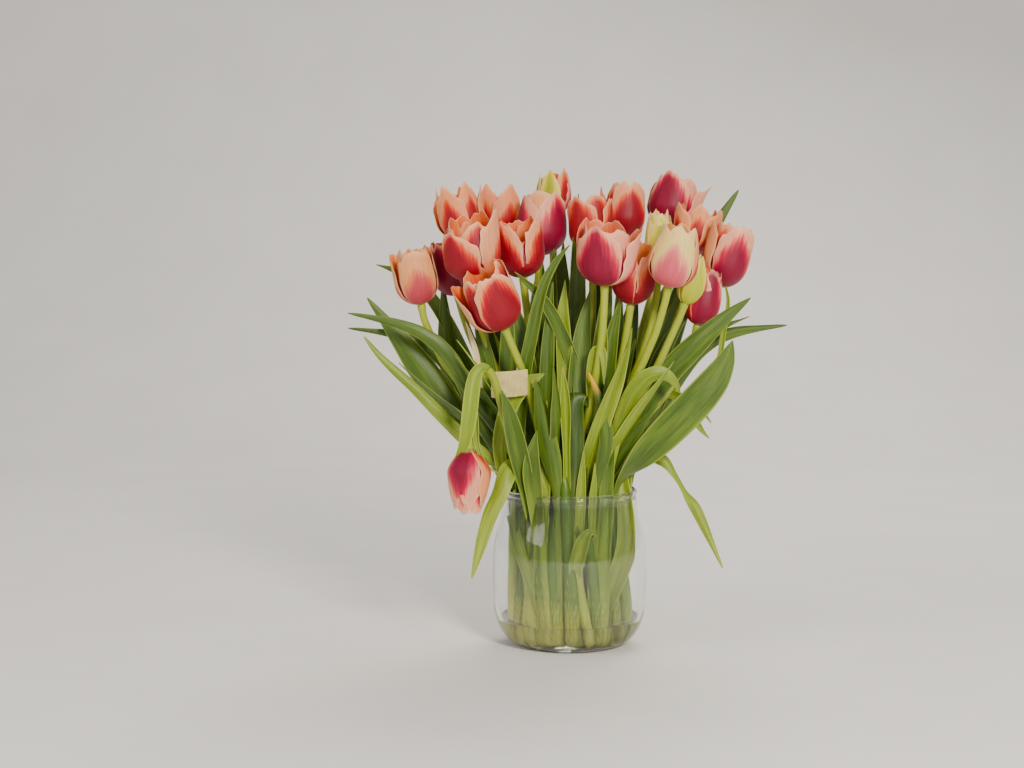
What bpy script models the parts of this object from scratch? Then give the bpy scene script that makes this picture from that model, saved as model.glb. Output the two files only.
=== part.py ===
"""Cut tulips standing in a round glass jar of shallow water, with a strip of paper tape round a few stems."""

import math

import bmesh
import bpy
import numpy as np
from mathutils import Matrix, Vector

MM = 0.001
CLEAR = 0.0003  # gap left where two pieces rest on each other

# Glass jar
VASE_HEIGHT = 0.157
BELLY_RADIUS = 0.077
RIM_RADIUS = 0.067
FOOT_RADIUS = 0.050
CORNER_HEIGHT = 0.045  # height over which the rounded lower corner runs
SHOULDER_HEIGHT = 0.090  # where the side starts to draw in
NECK_HEIGHT = 0.010  # straight band under the lip
WALL = 0.004
FLOOR = 0.008
VASE_STEPS = 36
CURVE_STEPS = 5  # points in each rounded stretch of the outline

# Water
WATER_LEVEL = 0.027
WATER_CLEAR = 0.0006  # all round each stem, so that eight flat sides never touch

# Stems
STEM_RADIUS = 0.0042
STEM_TOP_SHARE = 0.78  # thickness under the flower against that in the jar
STEM_GAP = 0.0016
LEVELS_INSIDE = 5  # heights between the water and the mouth at which the stems are set out
LEVELS_ABOVE = 9
REACH_ABOVE = 0.290  # how far over the mouth the last of these heights is
STEM_NECK = 0.014  # straight length under each flower
UPRIGHT = 0.006  # how far over the water the stems still stand upright
BUNDLE_RADIUS = 0.036  # how far out the stems cross the mouth
BUNDLE_FOOT = 0.050  # how far out they stand on the floor
BUNDLE_TURN = math.radians(14)
BUNDLE_REACH = 0.165  # a flower this far out has its stem at the edge of the bundle
BUNDLE_FILL = 0.75  # under 1 moves the inner stems outwards
BOW = 0.35  # how strongly a stem bows between the mouth and its flower
LEAN_ALLOWANCE = 1.08  # a leaning stem is wider where a level plane cuts it
SPREAD_ROUNDS = 600
EASE_EARLY, EASE_LATE = 0.22, 0.05  # how fast a pushed stem springs back to its own bend
EASE_CHANGE, EASE_END = 0.50, 0.75  # shares of the rounds
SLICE = 0.004  # what lies this near a level counts as being in it
WALL_GAP = 0.0014
RIM_GAP = 0.0032  # at the mouth, where the stems lean most

# Leaves
LEAF_THICK = 0.0014
LEAF_STATIONS = 11
LEAF_RING = 0.0545  # distance of the leaf sheaths from the middle, at the mouth
LEAF_FOOT = 0.042  # height of the lower end of a leaf inside the jar
LEAF_FOOT_WIDTH = 0.008
LEAF_FOLD = 0.20  # depth of the trough across a leaf against its width
LEAF_TIP = 0.0022
LEAF_INSET = 0.0075  # least distance from the glass
LEAF_TURN = 0.055  # height over the rim in which a leaf turns to face its own way
LEAF_GUARD = 0.0040  # radius kept clear of stems round each sampled spot on a leaf

# Flowers
PETALS = 6
PETAL_WALL = 0.0022
HEAD_GAP = 0.003
HEAD_GUARD = 0.002  # kept between a flower and the stems of others
HEAD_LEAN = 2.6  # radians of outward lean for each metre from the middle

# Paper tape
TAPE_HEIGHT = 0.027
TAPE_WIDTH = 0.037
TAPE_THICK = 0.0008
TAPE_RADIUS = 0.050
TAPE_ABOVE_RIM = 0.111
TAPE_X = -0.0605
TAPE_STANDOFF = 0.0015

# name: (x, y, height of the middle above the rim, length, width) in millimetres, lean to +X in degrees, kind
HEADS = {
    "tulip_01": (-151, -30, 213, 54, 40, -8, "flower"),
    "tulip_02": (-111, 35, 277, 56, 46, -12, "flower"),
    "tulip_03": (-97, -35, 242, 66, 55, -4, "flower"),
    "tulip_04": (-119, 0, 221, 56, 42, -14, "flower"),
    "tulip_05": (-74, 60, 277, 54, 46, -3, "flower"),
    "tulip_06": (-50, -30, 241, 58, 46, -6, "flower"),
    "tulip_07": (-28, 25, 264, 62, 52, 4, "flower"),
    "tulip_08": (-16, 85, 297, 46, 38, 0, "flower"),
    "tulip_09": (-78, -75, 194, 63, 51, -24, "flower"),
    "tulip_10": (20, 15, 264, 56, 42, -3, "flower"),
    "tulip_11": (31, -72, 237, 62, 54, 0, "flower"),
    "tulip_12": (57, 70, 277, 56, 44, 2, "flower"),
    "tulip_13": (108, 75, 287, 56, 50, 12, "flower"),
    "tulip_14": (61, -38, 217, 62, 44, 5, "flower"),
    "tulip_15": (97, -78, 235, 60, 47, 10, "flower"),
    "tulip_16": (88, 2, 254, 46, 26, 0, "bud"),
    "tulip_17": (118, -55, 212, 50, 26, 18, "bud"),
    "tulip_18": (131, -10, 193, 56, 36, 12, "flower"),
    "tulip_19": (129, 40, 260, 50, 42, 10, "flower"),
    "tulip_20": (157, 8, 233, 64, 46, 15, "flower"),
}

# The one that hangs head down beside the jar: spots along its stem from the mouth, then the flower
HANGING = "tulip_21"
HANGING_STEM = ((-58, -64, 56), (-72, -84, 106), (-82, -93, 135), (-91, -97, 124), (-98, -100, 93), (-99, -100, 51))
HANGING_HEAD = (-99, -100, 19, 60, 41)
HANGING_MOUTH_AZIMUTH = 228
HANGING_INSET = 0.0085  # from the leaf ring in to the middle of this stem

# name: azimuth at the mouth in degrees, way the face turns at the tip (x, y, z), then spots (x, y, height above
# the rim, width) in millimetres
FRONT = (0, -1, 0)
LEAVES = {
    "leaf_01": (191, FRONT, ((-83, -12, 35, 20), (-115, -15, 71, 30), (-141, -18, 112, 31), (-171, -15, 153, 20),
                             (-202, -10, 192, 0))),
    "leaf_02": (204, FRONT, ((-80, -31, 52, 13), (-104, -38, 107, 17), (-124, -44, 142, 16), (-150, -46, 161, 13),
                             (-177, -44, 170, 9), (-219, -40, 178, 0))),
    "leaf_03": (178, FRONT, ((-84, 4, 58, 14), (-118, 2, 119, 17), (-142, 2, 141, 14), (-170, 0, 154, 10),
                             (-222, 0, 161, 0))),
    "leaf_04": (217, FRONT, ((-75, -42, 29, 12), (-109, -50, 59, 14), (-157, -55, 109, 11), (-182, -55, 131, 8),
                             (-202, -55, 156, 0))),
    "leaf_05": (164, FRONT, ((-88, 18, 36, 16), (-114, 22, 87, 22), (-124, 25, 148, 20), (-128, 25, 206, 0))),
    "leaf_06": (240, FRONT, ((-38, -52, 17, 17), (-49, -62, 33, 20), (-62, -73, 30, 20), (-70, -80, 8, 18),
                             (-78, -82, -12, 16), (-89, -84, -47, 11), (-97, -84, -77, 0))),
    "leaf_07": (255, FRONT, ((-20, -61, 36, 22), (-28, -68, 75, 18), (-36, -73, 118, 0))),
    "leaf_08": (274, FRONT, ((3, -59, 45, 22), (0, -62, 85, 26), (5, -60, 109, 17), (12, -58, 117, 0))),
    "leaf_09": (296, FRONT, ((34, -58, 45, 15), (33, -61, 68, 14), (28, -61, 94, 9), (16, -58, 122, 0))),
    "leaf_10": (30, FRONT, ((67, 38, 45, 18), (93, 54, 116, 22), (118, 72, 187, 20), (141, 88, 241, 16),
                            (178, 96, 300, 0))),
    "leaf_11": (-20, FRONT, ((60, -26, 52, 18), (83, -32, 102, 25), (122, -36, 146, 24), (151, -36, 173, 14),
                             (176, -36, 193, 0))),
    "leaf_12": (6, FRONT, ((71, 12, 48, 14), (99, 18, 93, 16), (130, 22, 137, 16), (163, 20, 155, 11),
                           (219, 16, 163, 0))),
    "leaf_13": (-33, FRONT, ((58, -46, 21, 22), (88, -62, 58, 33), (121, -70, 93, 35), (145, -70, 124, 26),
                             (155, -68, 153, 0))),
    "leaf_14": (-47, FRONT, ((39, -44, 29, 11), (46, -52, 69, 13), (61, -62, 106, 16), (82, -66, 124, 15),
                             (97, -64, 118, 10), (106, -58, 99, 0))),
    "leaf_15": (-7, FRONT, ((66, -8, 14, 11), (77, -10, 33, 12), (88, -12, 38, 13), (100, -14, 26, 13),
                            (113, -16, 7, 13), (131, -18, -30, 11), (153, -18, -79, 0))),
}

COLOURS = {
    "glass": (0.75, 0.82, 0.80),
    "water": (0.60, 0.72, 0.62),
    "stem": (0.25, 0.38, 0.07),
    "leaf": (0.10, 0.24, 0.05),
    "petal": (0.62, 0.03, 0.05),
    "bud": (0.40, 0.45, 0.08),
    "paper": (0.72, 0.62, 0.45),
}
ROUGHNESS = {"glass": 0.02, "water": 0.02, "stem": 0.45, "leaf": 0.5, "petal": 0.55, "bud": 0.5, "paper": 0.9}


def clear_scene():
    for obj in list(bpy.data.objects):
        bpy.data.objects.remove(obj, do_unlink=True)


def material(name, kind):
    made = bpy.data.materials.new(name)
    made.use_nodes = True
    shader = made.node_tree.nodes["Principled BSDF"]
    shader.inputs["Base Color"].default_value = (*COLOURS[kind], 1.0)
    shader.inputs["Roughness"].default_value = ROUGHNESS[kind]
    if kind in ("glass", "water"):
        shader.inputs["Transmission Weight"].default_value = 1.0
    return made


def new_collection(name):
    made = bpy.data.collections.new(name)
    bpy.context.scene.collection.children.link(made)
    return made


def add(name, data, kind, collection):
    obj = bpy.data.objects.new(name, data)
    data.materials.append(material(name, kind))
    collection.objects.link(obj)
    return obj


def mesh_from(bm, name):
    bmesh.ops.recalc_face_normals(bm, faces=bm.faces)
    data = bpy.data.meshes.new(name)
    bm.to_mesh(data)
    bm.free()
    return data


def smooth(data):
    data.polygons.foreach_set("use_smooth", [True] * len(data.polygons))


# ---- outlines of the jar and of what it holds ----

def corner(foot, belly, low, high):
    """Quarter turn from the edge of a floor up into an upright side."""
    turns = [math.pi / 2 * k / CURVE_STEPS for k in range(CURVE_STEPS + 1)]
    return [(foot + (belly - foot) * math.sin(t), low + (high - low) * (1 - math.cos(t))) for t in turns]


def shoulder(belly, rim, low, high):
    """Soft S from the widest part in to the rim."""
    shares = [k / CURVE_STEPS for k in range(CURVE_STEPS + 1)]
    return [(rim + (belly - rim) * (0.5 + 0.5 * math.cos(math.pi * s)), low + (high - low) * s) for s in shares]


NECK_TOP = VASE_HEIGHT - NECK_HEIGHT
INNER_FOOT = FOOT_RADIUS + WALL / 2
INNER = (
    corner(INNER_FOOT, BELLY_RADIUS - WALL, FLOOR, CORNER_HEIGHT)
    + shoulder(BELLY_RADIUS - WALL, RIM_RADIUS - WALL, SHOULDER_HEIGHT, NECK_TOP)
)
OUTER = corner(FOOT_RADIUS, BELLY_RADIUS, 0.0, CORNER_HEIGHT) + shoulder(
    BELLY_RADIUS, RIM_RADIUS, SHOULDER_HEIGHT, NECK_TOP
)


def inner_radius(z):
    heights = [h for _, h in INNER] + [VASE_HEIGHT]
    radii = [r for r, _ in INNER] + [RIM_RADIUS - WALL]
    return float(np.interp(z, heights, radii))


def lathe(name, profile, kind, steps, collection):
    """Turns a profile of (radius, height) round +Z. It runs down its outer side from top to bottom."""
    bm = bmesh.new()
    points = [bm.verts.new((r, 0.0, z)) for r, z in profile]
    for a, b in zip(points, points[1:]):
        bm.edges.new((a, b))
    data = bpy.data.meshes.new(name)
    bm.to_mesh(data)
    bm.free()
    obj = add(name, data, kind, collection)
    screw = obj.modifiers.new("Turn", "SCREW")
    screw.steps = screw.render_steps = steps
    screw.use_merge_vertices = True
    screw.merge_threshold = 1e-5
    screw.use_smooth_shade = True
    return obj


def build_vase(collection):
    lip = WALL / 4
    rim = [
        (RIM_RADIUS - WALL, VASE_HEIGHT - lip),
        (RIM_RADIUS - WALL + lip, VASE_HEIGHT),
        (RIM_RADIUS - lip, VASE_HEIGHT),
        (RIM_RADIUS, VASE_HEIGHT - lip),
    ]
    profile = [(0.0, FLOOR)] + INNER + rim + OUTER[::-1] + [(0.0, 0.0)]
    return lathe("vase", profile, "glass", VASE_STEPS, collection)


def build_water(collection, cutters):
    low = FLOOR + CLEAR
    side = [(inner_radius(z) - CLEAR * 2, z) for z in np.linspace(low, WATER_LEVEL, CURVE_STEPS)]
    profile = [(0.0, WATER_LEVEL)] + side[::-1] + [(0.0, low)]
    water = lathe("water", profile, "water", VASE_STEPS, collection)
    for cutter in cutters:
        cut = water.modifiers.new(cutter.name, "BOOLEAN")
        cut.operation = "DIFFERENCE"
        cut.solver = "EXACT"
        cut.object = cutter
    return water


# ---- lines through space ----

def smooth_path(points, count):
    """Evenly spaced spots on a smooth line through the given ones; extra columns such as width go along."""
    points = np.asarray(points, float)
    padded = np.vstack([2 * points[0] - points[1], points, 2 * points[-1] - points[-2]])
    dense = []
    for k in range(len(points) - 1):
        a, b, c, d = padded[k : k + 4]
        for t in np.linspace(0, 1, 24, endpoint=False):
            dense.append(
                0.5 * (2 * b + (c - a) * t + (2 * a - 5 * b + 4 * c - d) * t**2 + (3 * b - a - 3 * c + d) * t**3)
            )
    dense = np.array(dense + [points[-1]])
    run = np.concatenate([[0], np.cumsum(np.linalg.norm(np.diff(dense[:, :3], axis=0), axis=1))])
    wanted = np.linspace(0, run[-1], count)
    return np.column_stack([np.interp(wanted, run, dense[:, k]) for k in range(points.shape[1])])


def unit(v):
    return v / max(np.linalg.norm(v), 1e-9)


def heading(points, k):
    return unit(points[min(k + 1, len(points) - 1)] - points[max(k - 1, 0)])


# ---- flowers ----

class Head:
    """Where one flower sits: middle, axis from stalk to tip, length and width, all in metres."""

    def __init__(self, name, x, y, above, length, width, lean, kind):
        self.name, self.kind = name, kind
        self.length, self.width = length * MM, width * MM
        self.middle = np.array([x * MM, y * MM, VASE_HEIGHT + above * MM])
        side = math.tan(math.radians(lean))
        self.axis = unit(np.array([side, y * MM * HEAD_LEAN, 1.0]))

    def base(self):
        return self.middle - self.axis * self.length / 2

    def neck(self):
        return self.base() - self.axis * CLEAR

    def core(self):
        half = (self.length - self.width) / 2
        return self.middle - self.axis * half, self.middle + self.axis * half


def closest(a0, a1, b0, b1):
    """Shortest step from segment a to segment b, by sampling both."""
    shares = np.linspace(0, 1, 9)[:, None]
    first, second = a0 + (a1 - a0) * shares, b0 + (b1 - b0) * shares
    steps = second[None] - first[:, None]
    lengths = np.linalg.norm(steps, axis=2)
    i, j = np.unravel_index(lengths.argmin(), lengths.shape)
    return steps[i, j]


def spread_heads(heads):
    """Moves flowers that would touch apart in depth, a little at a time."""
    for _ in range(200):
        moved = False
        for i, a in enumerate(heads):
            for b in heads[i + 1 :]:
                step = closest(*a.core(), *b.core())
                short = (a.width + b.width) / 2 + HEAD_GAP - np.linalg.norm(step)
                if short <= 0:
                    continue
                way = np.sign(b.middle[1] - a.middle[1]) or 1.0
                a.middle[1] -= way * min(short, 0.0015) / 2
                b.middle[1] += way * min(short, 0.0015) / 2
                moved = True
        if not moved:
            return


FLOWER_OUTLINE = ((0.10, 0.0), (0.62, 0.09), (0.93, 0.27), (1.0, 0.48), (0.93, 0.70), (0.80, 0.88))
BUD_OUTLINE = ((0.22, 0.0), (0.70, 0.14), (1.0, 0.38), (0.92, 0.60), (0.60, 0.82), (0.18, 0.97))
TIP_REACH = 0.12  # how far a petal's tip stands above the notch beside it, against the length
TIP_SPREAD = 0.16


def build_head(head, collection):
    half = head.width / 2
    if head.kind == "bud":
        profile = [(0.0, head.length)] + [(r * half, z * head.length) for r, z in BUD_OUTLINE[::-1]] + [(0.0, 0.0)]
    else:
        outer = [(r * half, z * head.length) for r, z in FLOWER_OUTLINE]
        inner = [(r - PETAL_WALL, z + PETAL_WALL) for r, z in outer[1:-1]] + [(outer[-1][0] - PETAL_WALL, outer[-1][1])]
        profile = [(0.0, PETAL_WALL * 2)] + inner + outer[::-1] + [(0.0, 0.0)]
    obj = lathe(f"{head.name}_{head.kind}", profile, head.kind if head.kind == "bud" else "petal", PETALS * 2, collection)
    turned = bpy.data.meshes.new_from_object(obj.evaluated_get(bpy.context.evaluated_depsgraph_get()))
    obj.modifiers.clear()
    old, obj.data = obj.data, turned
    bpy.data.meshes.remove(old)
    if head.kind != "bud":
        shape_petals(turned, head)
    up = Vector(head.axis)
    frame = Vector((0, 0, 1)).rotation_difference(up).to_matrix().to_4x4()
    turned.transform(Matrix.Translation(head.base()) @ frame)
    smooth(turned)
    return obj


def shape_petals(data, head):
    """Draws every other step of the mouth up and out into a petal tip."""
    top = FLOWER_OUTLINE[-1][1] * head.length
    start = 0.55 * head.length
    for vertex in data.vertices:
        reach = (vertex.co.z - start) / (top - start)
        if reach <= 0:
            continue
        tip = 0.5 + 0.5 * math.cos(PETALS * math.atan2(vertex.co.y, vertex.co.x))
        vertex.co.z += reach * tip * TIP_REACH * head.length
        grow = 1 + reach * (tip - 0.5) * TIP_SPREAD
        vertex.co.x *= grow
        vertex.co.y *= grow


# ---- leaves ----

def leaf_ring():
    return min(LEAF_RING, RIM_RADIUS - WALL - LEAF_INSET)


class Leaf:
    def __init__(self, name, azimuth, face, spots):
        self.name = name
        turn = math.radians(azimuth)
        out = np.array([math.cos(turn), math.sin(turn), 0.0])
        self.out, self.face = out, unit(np.array(face, float))
        ring = leaf_ring()
        start = np.array([*(out * ring)[:2], LEAF_FOOT, LEAF_FOOT_WIDTH])
        middle = np.array([*(out * ring)[:2], (LEAF_FOOT + VASE_HEIGHT) / 2, LEAF_FOOT_WIDTH])
        mouth = np.array([*(out * ring)[:2], VASE_HEIGHT, LEAF_FOOT_WIDTH + 0.001])
        above = [np.array([x * MM, y * MM, VASE_HEIGHT + z * MM, w * MM]) for x, y, z, w in spots]
        self.line = smooth_path([start, middle, mouth] + above, LEAF_STATIONS + len(spots))

    def rows(self):
        """For each station: middle, way across and way out, and half the width."""
        path = self.line[:, :3]
        made = []
        for k, (x, y, z, width) in enumerate(self.line):
            along = heading(path, k)
            rise = np.clip((z - VASE_HEIGHT) / LEAF_TURN, 0, 1)
            if path[k][2] < VASE_HEIGHT and k > len(path) / 2:
                rise = 1.0
            rise = rise * rise * (3 - 2 * rise)
            wanted = unit(self.out * (1 - rise) + self.face * rise)
            across = unit(np.cross(along, wanted))
            made.append((path[k], across, unit(np.cross(across, along)), max(width, LEAF_TIP) / 2))
        return made


def build_leaf(leaf, collection):
    """A strip three points wide with a shallow trough, then given its thickness."""
    rows = leaf.rows()
    bm = bmesh.new()
    bmesh.ops.create_grid(bm, x_segments=2, y_segments=len(rows) - 1, size=1.0)
    bm.verts.ensure_lookup_table()
    for vertex in bm.verts:
        share = (vertex.co.y + 1) / 2 * (len(rows) - 1)
        middle, across, out, half = rows[round(share)]
        place = middle + across * half * vertex.co.x - out * half * 2 * LEAF_FOLD * (1 - abs(vertex.co.x))
        vertex.co = Vector(place)
    obj = add(leaf.name, mesh_from(bm, leaf.name), "leaf", collection)
    solid = obj.modifiers.new("Thickness", "SOLIDIFY")
    solid.thickness = LEAF_THICK
    solid.offset = 0.0
    smooth(obj.data)
    return obj


def leaf_spots(leaf):
    """Many spots all over a leaf, which the stems keep clear of."""
    rows = leaf.rows()
    found = []
    for (m0, a0, o0, h0), (m1, a1, o1, h1) in zip(rows, rows[1:]):
        for t in np.linspace(0, 1, 12, endpoint=False):
            middle, across, half = m0 + (m1 - m0) * t, a0 + (a1 - a0) * t, h0 + (h1 - h0) * t
            out = o0 + (o1 - o0) * t
            for side in np.linspace(-1, 1, 9):
                found.append(middle + across * half * side - out * half * 2 * LEAF_FOLD * (1 - abs(side)))
    return np.array(found)


# ---- stems ----

FOOT_Z = FLOOR + CLEAR
UPRIGHT_TOP = WATER_LEVEL + UPRIGHT
LEVELS = np.concatenate(
    [
        [FOOT_Z],
        np.linspace(UPRIGHT_TOP, VASE_HEIGHT, LEVELS_INSIDE),
        np.linspace(VASE_HEIGHT, VASE_HEIGHT + REACH_ABOVE, LEVELS_ABOVE + 1)[1:],
    ]
)
STEM_LEVELS = len(LEVELS)


def stem_thickness(z):
    share = np.clip((z - FOOT_Z) / (VASE_HEIGHT + 0.25 - FOOT_Z), 0, 1)
    return STEM_RADIUS * (1 - (1 - STEM_TOP_SHARE) * share)


def first_line(head):
    """The stem before it is pushed clear: straight in the jar, then bending up into the flower."""
    reach = np.hypot(*head.middle[:2])
    share = min(reach / BUNDLE_REACH, 1.0) ** BUNDLE_FILL
    turn = math.atan2(head.middle[1], head.middle[0])
    mouth = np.array([math.cos(turn), math.sin(turn)]) * BUNDLE_RADIUS * share
    foot = np.array([math.cos(turn + BUNDLE_TURN), math.sin(turn + BUNDLE_TURN)]) * BUNDLE_FOOT * share
    low = np.array([*foot, UPRIGHT_TOP])
    mid = np.array([*mouth, VASE_HEIGHT])
    end = head.neck() - head.axis * STEM_NECK
    span = np.linalg.norm(end - mid)
    out = unit(mid - low + np.array([*(mouth * 1.5), 0]))
    controls = mid, mid + out * span * BOW, end - head.axis * span * BOW, end
    curve = [low + (mid - low) * t for t in np.linspace(0, 1, 20, endpoint=False)]
    for t in np.linspace(0, 1, 60):
        s = 1 - t
        curve.append(
            controls[0] * s**3 + 3 * controls[1] * s * s * t + 3 * controls[2] * s * t * t + controls[3] * t**3
        )
    return np.array(curve)


def own_bend(place, last, top):
    """How far each inner spot of a stem lies from the middle of its two neighbours."""
    line = np.vstack([place[:last], top])
    return line[:-2] + line[2:] - 2 * line[1:-1]


class Slice:
    """What the stems have to clear at one height, as circles, and how far they are from clearing it."""

    def __init__(self, z, leaf_points, hanging, heads):
        self.z, self.radius = z, stem_thickness(z)
        rows = [(x, y, LEAF_GUARD) for x, y, h in leaf_points if abs(h - z) < SLICE]
        rows += [(x, y, STEM_RADIUS + STEM_GAP) for x, y, h in hanging if abs(h - z) < SLICE]
        for head in heads:
            low, high = head.core()
            grown = head.width / 2 + HEAD_GUARD
            for spot in np.linspace(low, high, 5):
                flat = grown * grown - (z - spot[2]) ** 2
                if flat > 0:
                    rows.append((spot[0], spot[1], math.sqrt(flat)))
        self.circles = np.array(rows).reshape(-1, 3)

    @staticmethod
    def nearest(slices, z):
        return min(slices, key=lambda one: abs(one.z - z))

    def push(self, spots):
        """The step that takes each stem clear of the others, of the nearest circle and of the glass."""
        wide = self.radius * LEAN_ALLOWANCE
        others = 1 - np.eye(len(spots))
        steps = spots[:, None] - spots[None]
        apart = np.linalg.norm(steps, axis=2) + np.eye(len(spots))
        short = np.clip(2 * wide + STEM_GAP - apart, 0, None) * others
        moved = spots + (steps / apart[..., None] * short[..., None] * 0.5).sum(1)
        if len(self.circles):
            steps = moved[:, None] - self.circles[None, :, :2]
            apart = np.linalg.norm(steps, axis=2) + 1e-9
            short = np.clip(wide + self.circles[None, :, 2] - apart, 0, None)
            worst, rows = short.argmax(1), np.arange(len(spots))
            moved = moved + steps[rows, worst] / apart[rows, worst, None] * short[rows, worst, None] * 0.7
        if self.z <= VASE_HEIGHT:
            gap = RIM_GAP if self.z > VASE_HEIGHT - CLEAR else WALL_GAP
            limit = min(inner_radius(self.z), INNER_FOOT if self.z <= UPRIGHT_TOP else 1.0) - self.radius - gap
            if self.z > LEAF_FOOT:
                limit = min(limit, leaf_ring() - LEAF_GUARD - wide)
            far = np.linalg.norm(moved, axis=1)
            moved = np.where((far > limit)[:, None], moved * (limit / far)[:, None], moved)
        return moved - spots


def spread_stems(heads, leaves, hanging):
    """Pushes the stems apart level by level until none touches another, a leaf, a flower or the glass."""
    count = len(heads)
    ends = np.array([h.neck()[2] - h.axis[2] * STEM_NECK for h in heads])
    place = np.zeros((count, STEM_LEVELS, 2))
    live = LEVELS[None] < ends[:, None] - STEM_NECK
    for i, head in enumerate(heads):
        line = first_line(head)
        for axis in range(2):
            place[i, :, axis] = np.interp(LEVELS, line[:, 2], line[:, axis])
    tops = np.array([(h.neck() - h.axis * STEM_NECK)[:2] for h in heads])
    designed = [own_bend(place[i], int(live[i].sum()), tops[i]) for i in range(count)]
    spots = np.vstack([leaf_spots(leaf) for leaf in leaves])
    hanging = smooth_path(hanging, 200)
    between = (LEVELS[1:] + LEVELS[:-1]) / 2
    slices = [Slice(z, spots, hanging, heads) for z in LEVELS]
    halfway = [Slice(z, spots, hanging, heads) for z in between]
    for turn in range(SPREAD_ROUNDS):
        ease = EASE_EARLY if turn < SPREAD_ROUNDS * EASE_CHANGE else EASE_LATE
        if turn > SPREAD_ROUNDS * EASE_END:
            ease = 0.0
        for k in range(STEM_LEVELS):
            on = np.flatnonzero(live[:, k])
            if len(on):
                place[on, k] += slices[k].push(place[on, k])
        for k in range(1, STEM_LEVELS - 1):
            on = np.flatnonzero(live[:, k + 1])
            if len(on):
                step = halfway[k].push((place[on, k] + place[on, k + 1]) / 2)
                place[on, k] += step
                place[on, k + 1] += step
        for i in range(count):
            last = int(live[i].sum())
            if ease:
                place[i, 2:last] += ease * (own_bend(place[i], last, tops[i]) - designed[i])[1:]
            share = (ends[i] + LEVELS[last - 1]) / 2
            place[i, last - 1] += Slice.nearest(halfway, share).push((place[i, last - 1] + tops[i])[None] / 2)[0]
        place[:, 0] = place[:, 1]
    return place, live


def tube(name, points, radii, kind, collection):
    data = bpy.data.curves.new(name, "CURVE")
    data.dimensions = "3D"
    data.bevel_depth = 1.0
    data.bevel_resolution = 1
    data.use_fill_caps = True
    line = data.splines.new("POLY")
    line.points.add(len(points) - 1)
    for spot, place, radius in zip(line.points, points, radii):
        spot.co = (*place, 1.0)
        spot.radius = radius
    line.use_smooth = True
    return add(name, data, kind, collection)


def as_mesh(obj):
    """The curve object made into a closed mesh object of the same name."""
    made = bpy.data.meshes.new_from_object(obj.evaluated_get(bpy.context.evaluated_depsgraph_get()))
    bm = bmesh.new()
    bm.from_mesh(made)
    bmesh.ops.remove_doubles(bm, verts=bm.verts, dist=1e-6)
    bmesh.ops.recalc_face_normals(bm, faces=bm.faces)
    bm.to_mesh(made)
    bm.free()
    name, collections = obj.name, list(obj.users_collection)
    matrix = obj.matrix_world.copy()
    bpy.data.objects.remove(obj, do_unlink=True)
    mesh = bpy.data.objects.new(name, made)
    mesh.matrix_world = matrix
    for collection in collections:
        collection.objects.link(mesh)
    return mesh


def water_cutter(name, points, collection):
    """The upright foot of a stem, a little thicker and running past both faces of the water."""
    x, y, _ = points[0]
    line = [(x, y, FLOOR - UPRIGHT), (x, y, FOOT_Z), (x, y, UPRIGHT_TOP)]
    cutter = tube(f"{name}_hole", line, [STEM_RADIUS + WATER_CLEAR] * len(line), "stem", collection)
    cutter = as_mesh(cutter)
    cutter.display_type = "WIRE"
    cutter.hide_render = True
    return cutter


def hanging_line():
    turn = math.radians(HANGING_MOUTH_AZIMUTH)
    out = np.array([math.cos(turn), math.sin(turn)])
    inset = leaf_ring() - HANGING_INSET
    start, middle, mouth = ([*(out * inset), z] for z in (FOOT_Z, (FOOT_Z + VASE_HEIGHT) / 2, VASE_HEIGHT))
    above = [(x * MM, y * MM, VASE_HEIGHT + z * MM) for x, y, z in HANGING_STEM]
    return np.array([start, middle, mouth, *above])


def build_stems(heads, leaves, collection, helpers):
    hang = hanging_line()
    place, live = spread_stems(heads, leaves, hang)
    cutters, paths = [], {}
    for i, head in enumerate(heads):
        points = [(*place[i, k], LEVELS[k]) for k in range(STEM_LEVELS) if live[i, k]]
        neck = head.neck()
        points += [tuple(neck - head.axis * STEM_NECK), tuple(neck)]
        paths[head.name] = points
    paths[HANGING] = [tuple(p) for p in smooth_path(hang, STEM_LEVELS + 4)]
    for name, points in paths.items():
        tube(f"{name}_stem", points, [stem_thickness(p[2]) for p in points], "stem", collection)
        cutters.append(water_cutter(name, points, helpers))
    return cutters, paths


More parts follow.
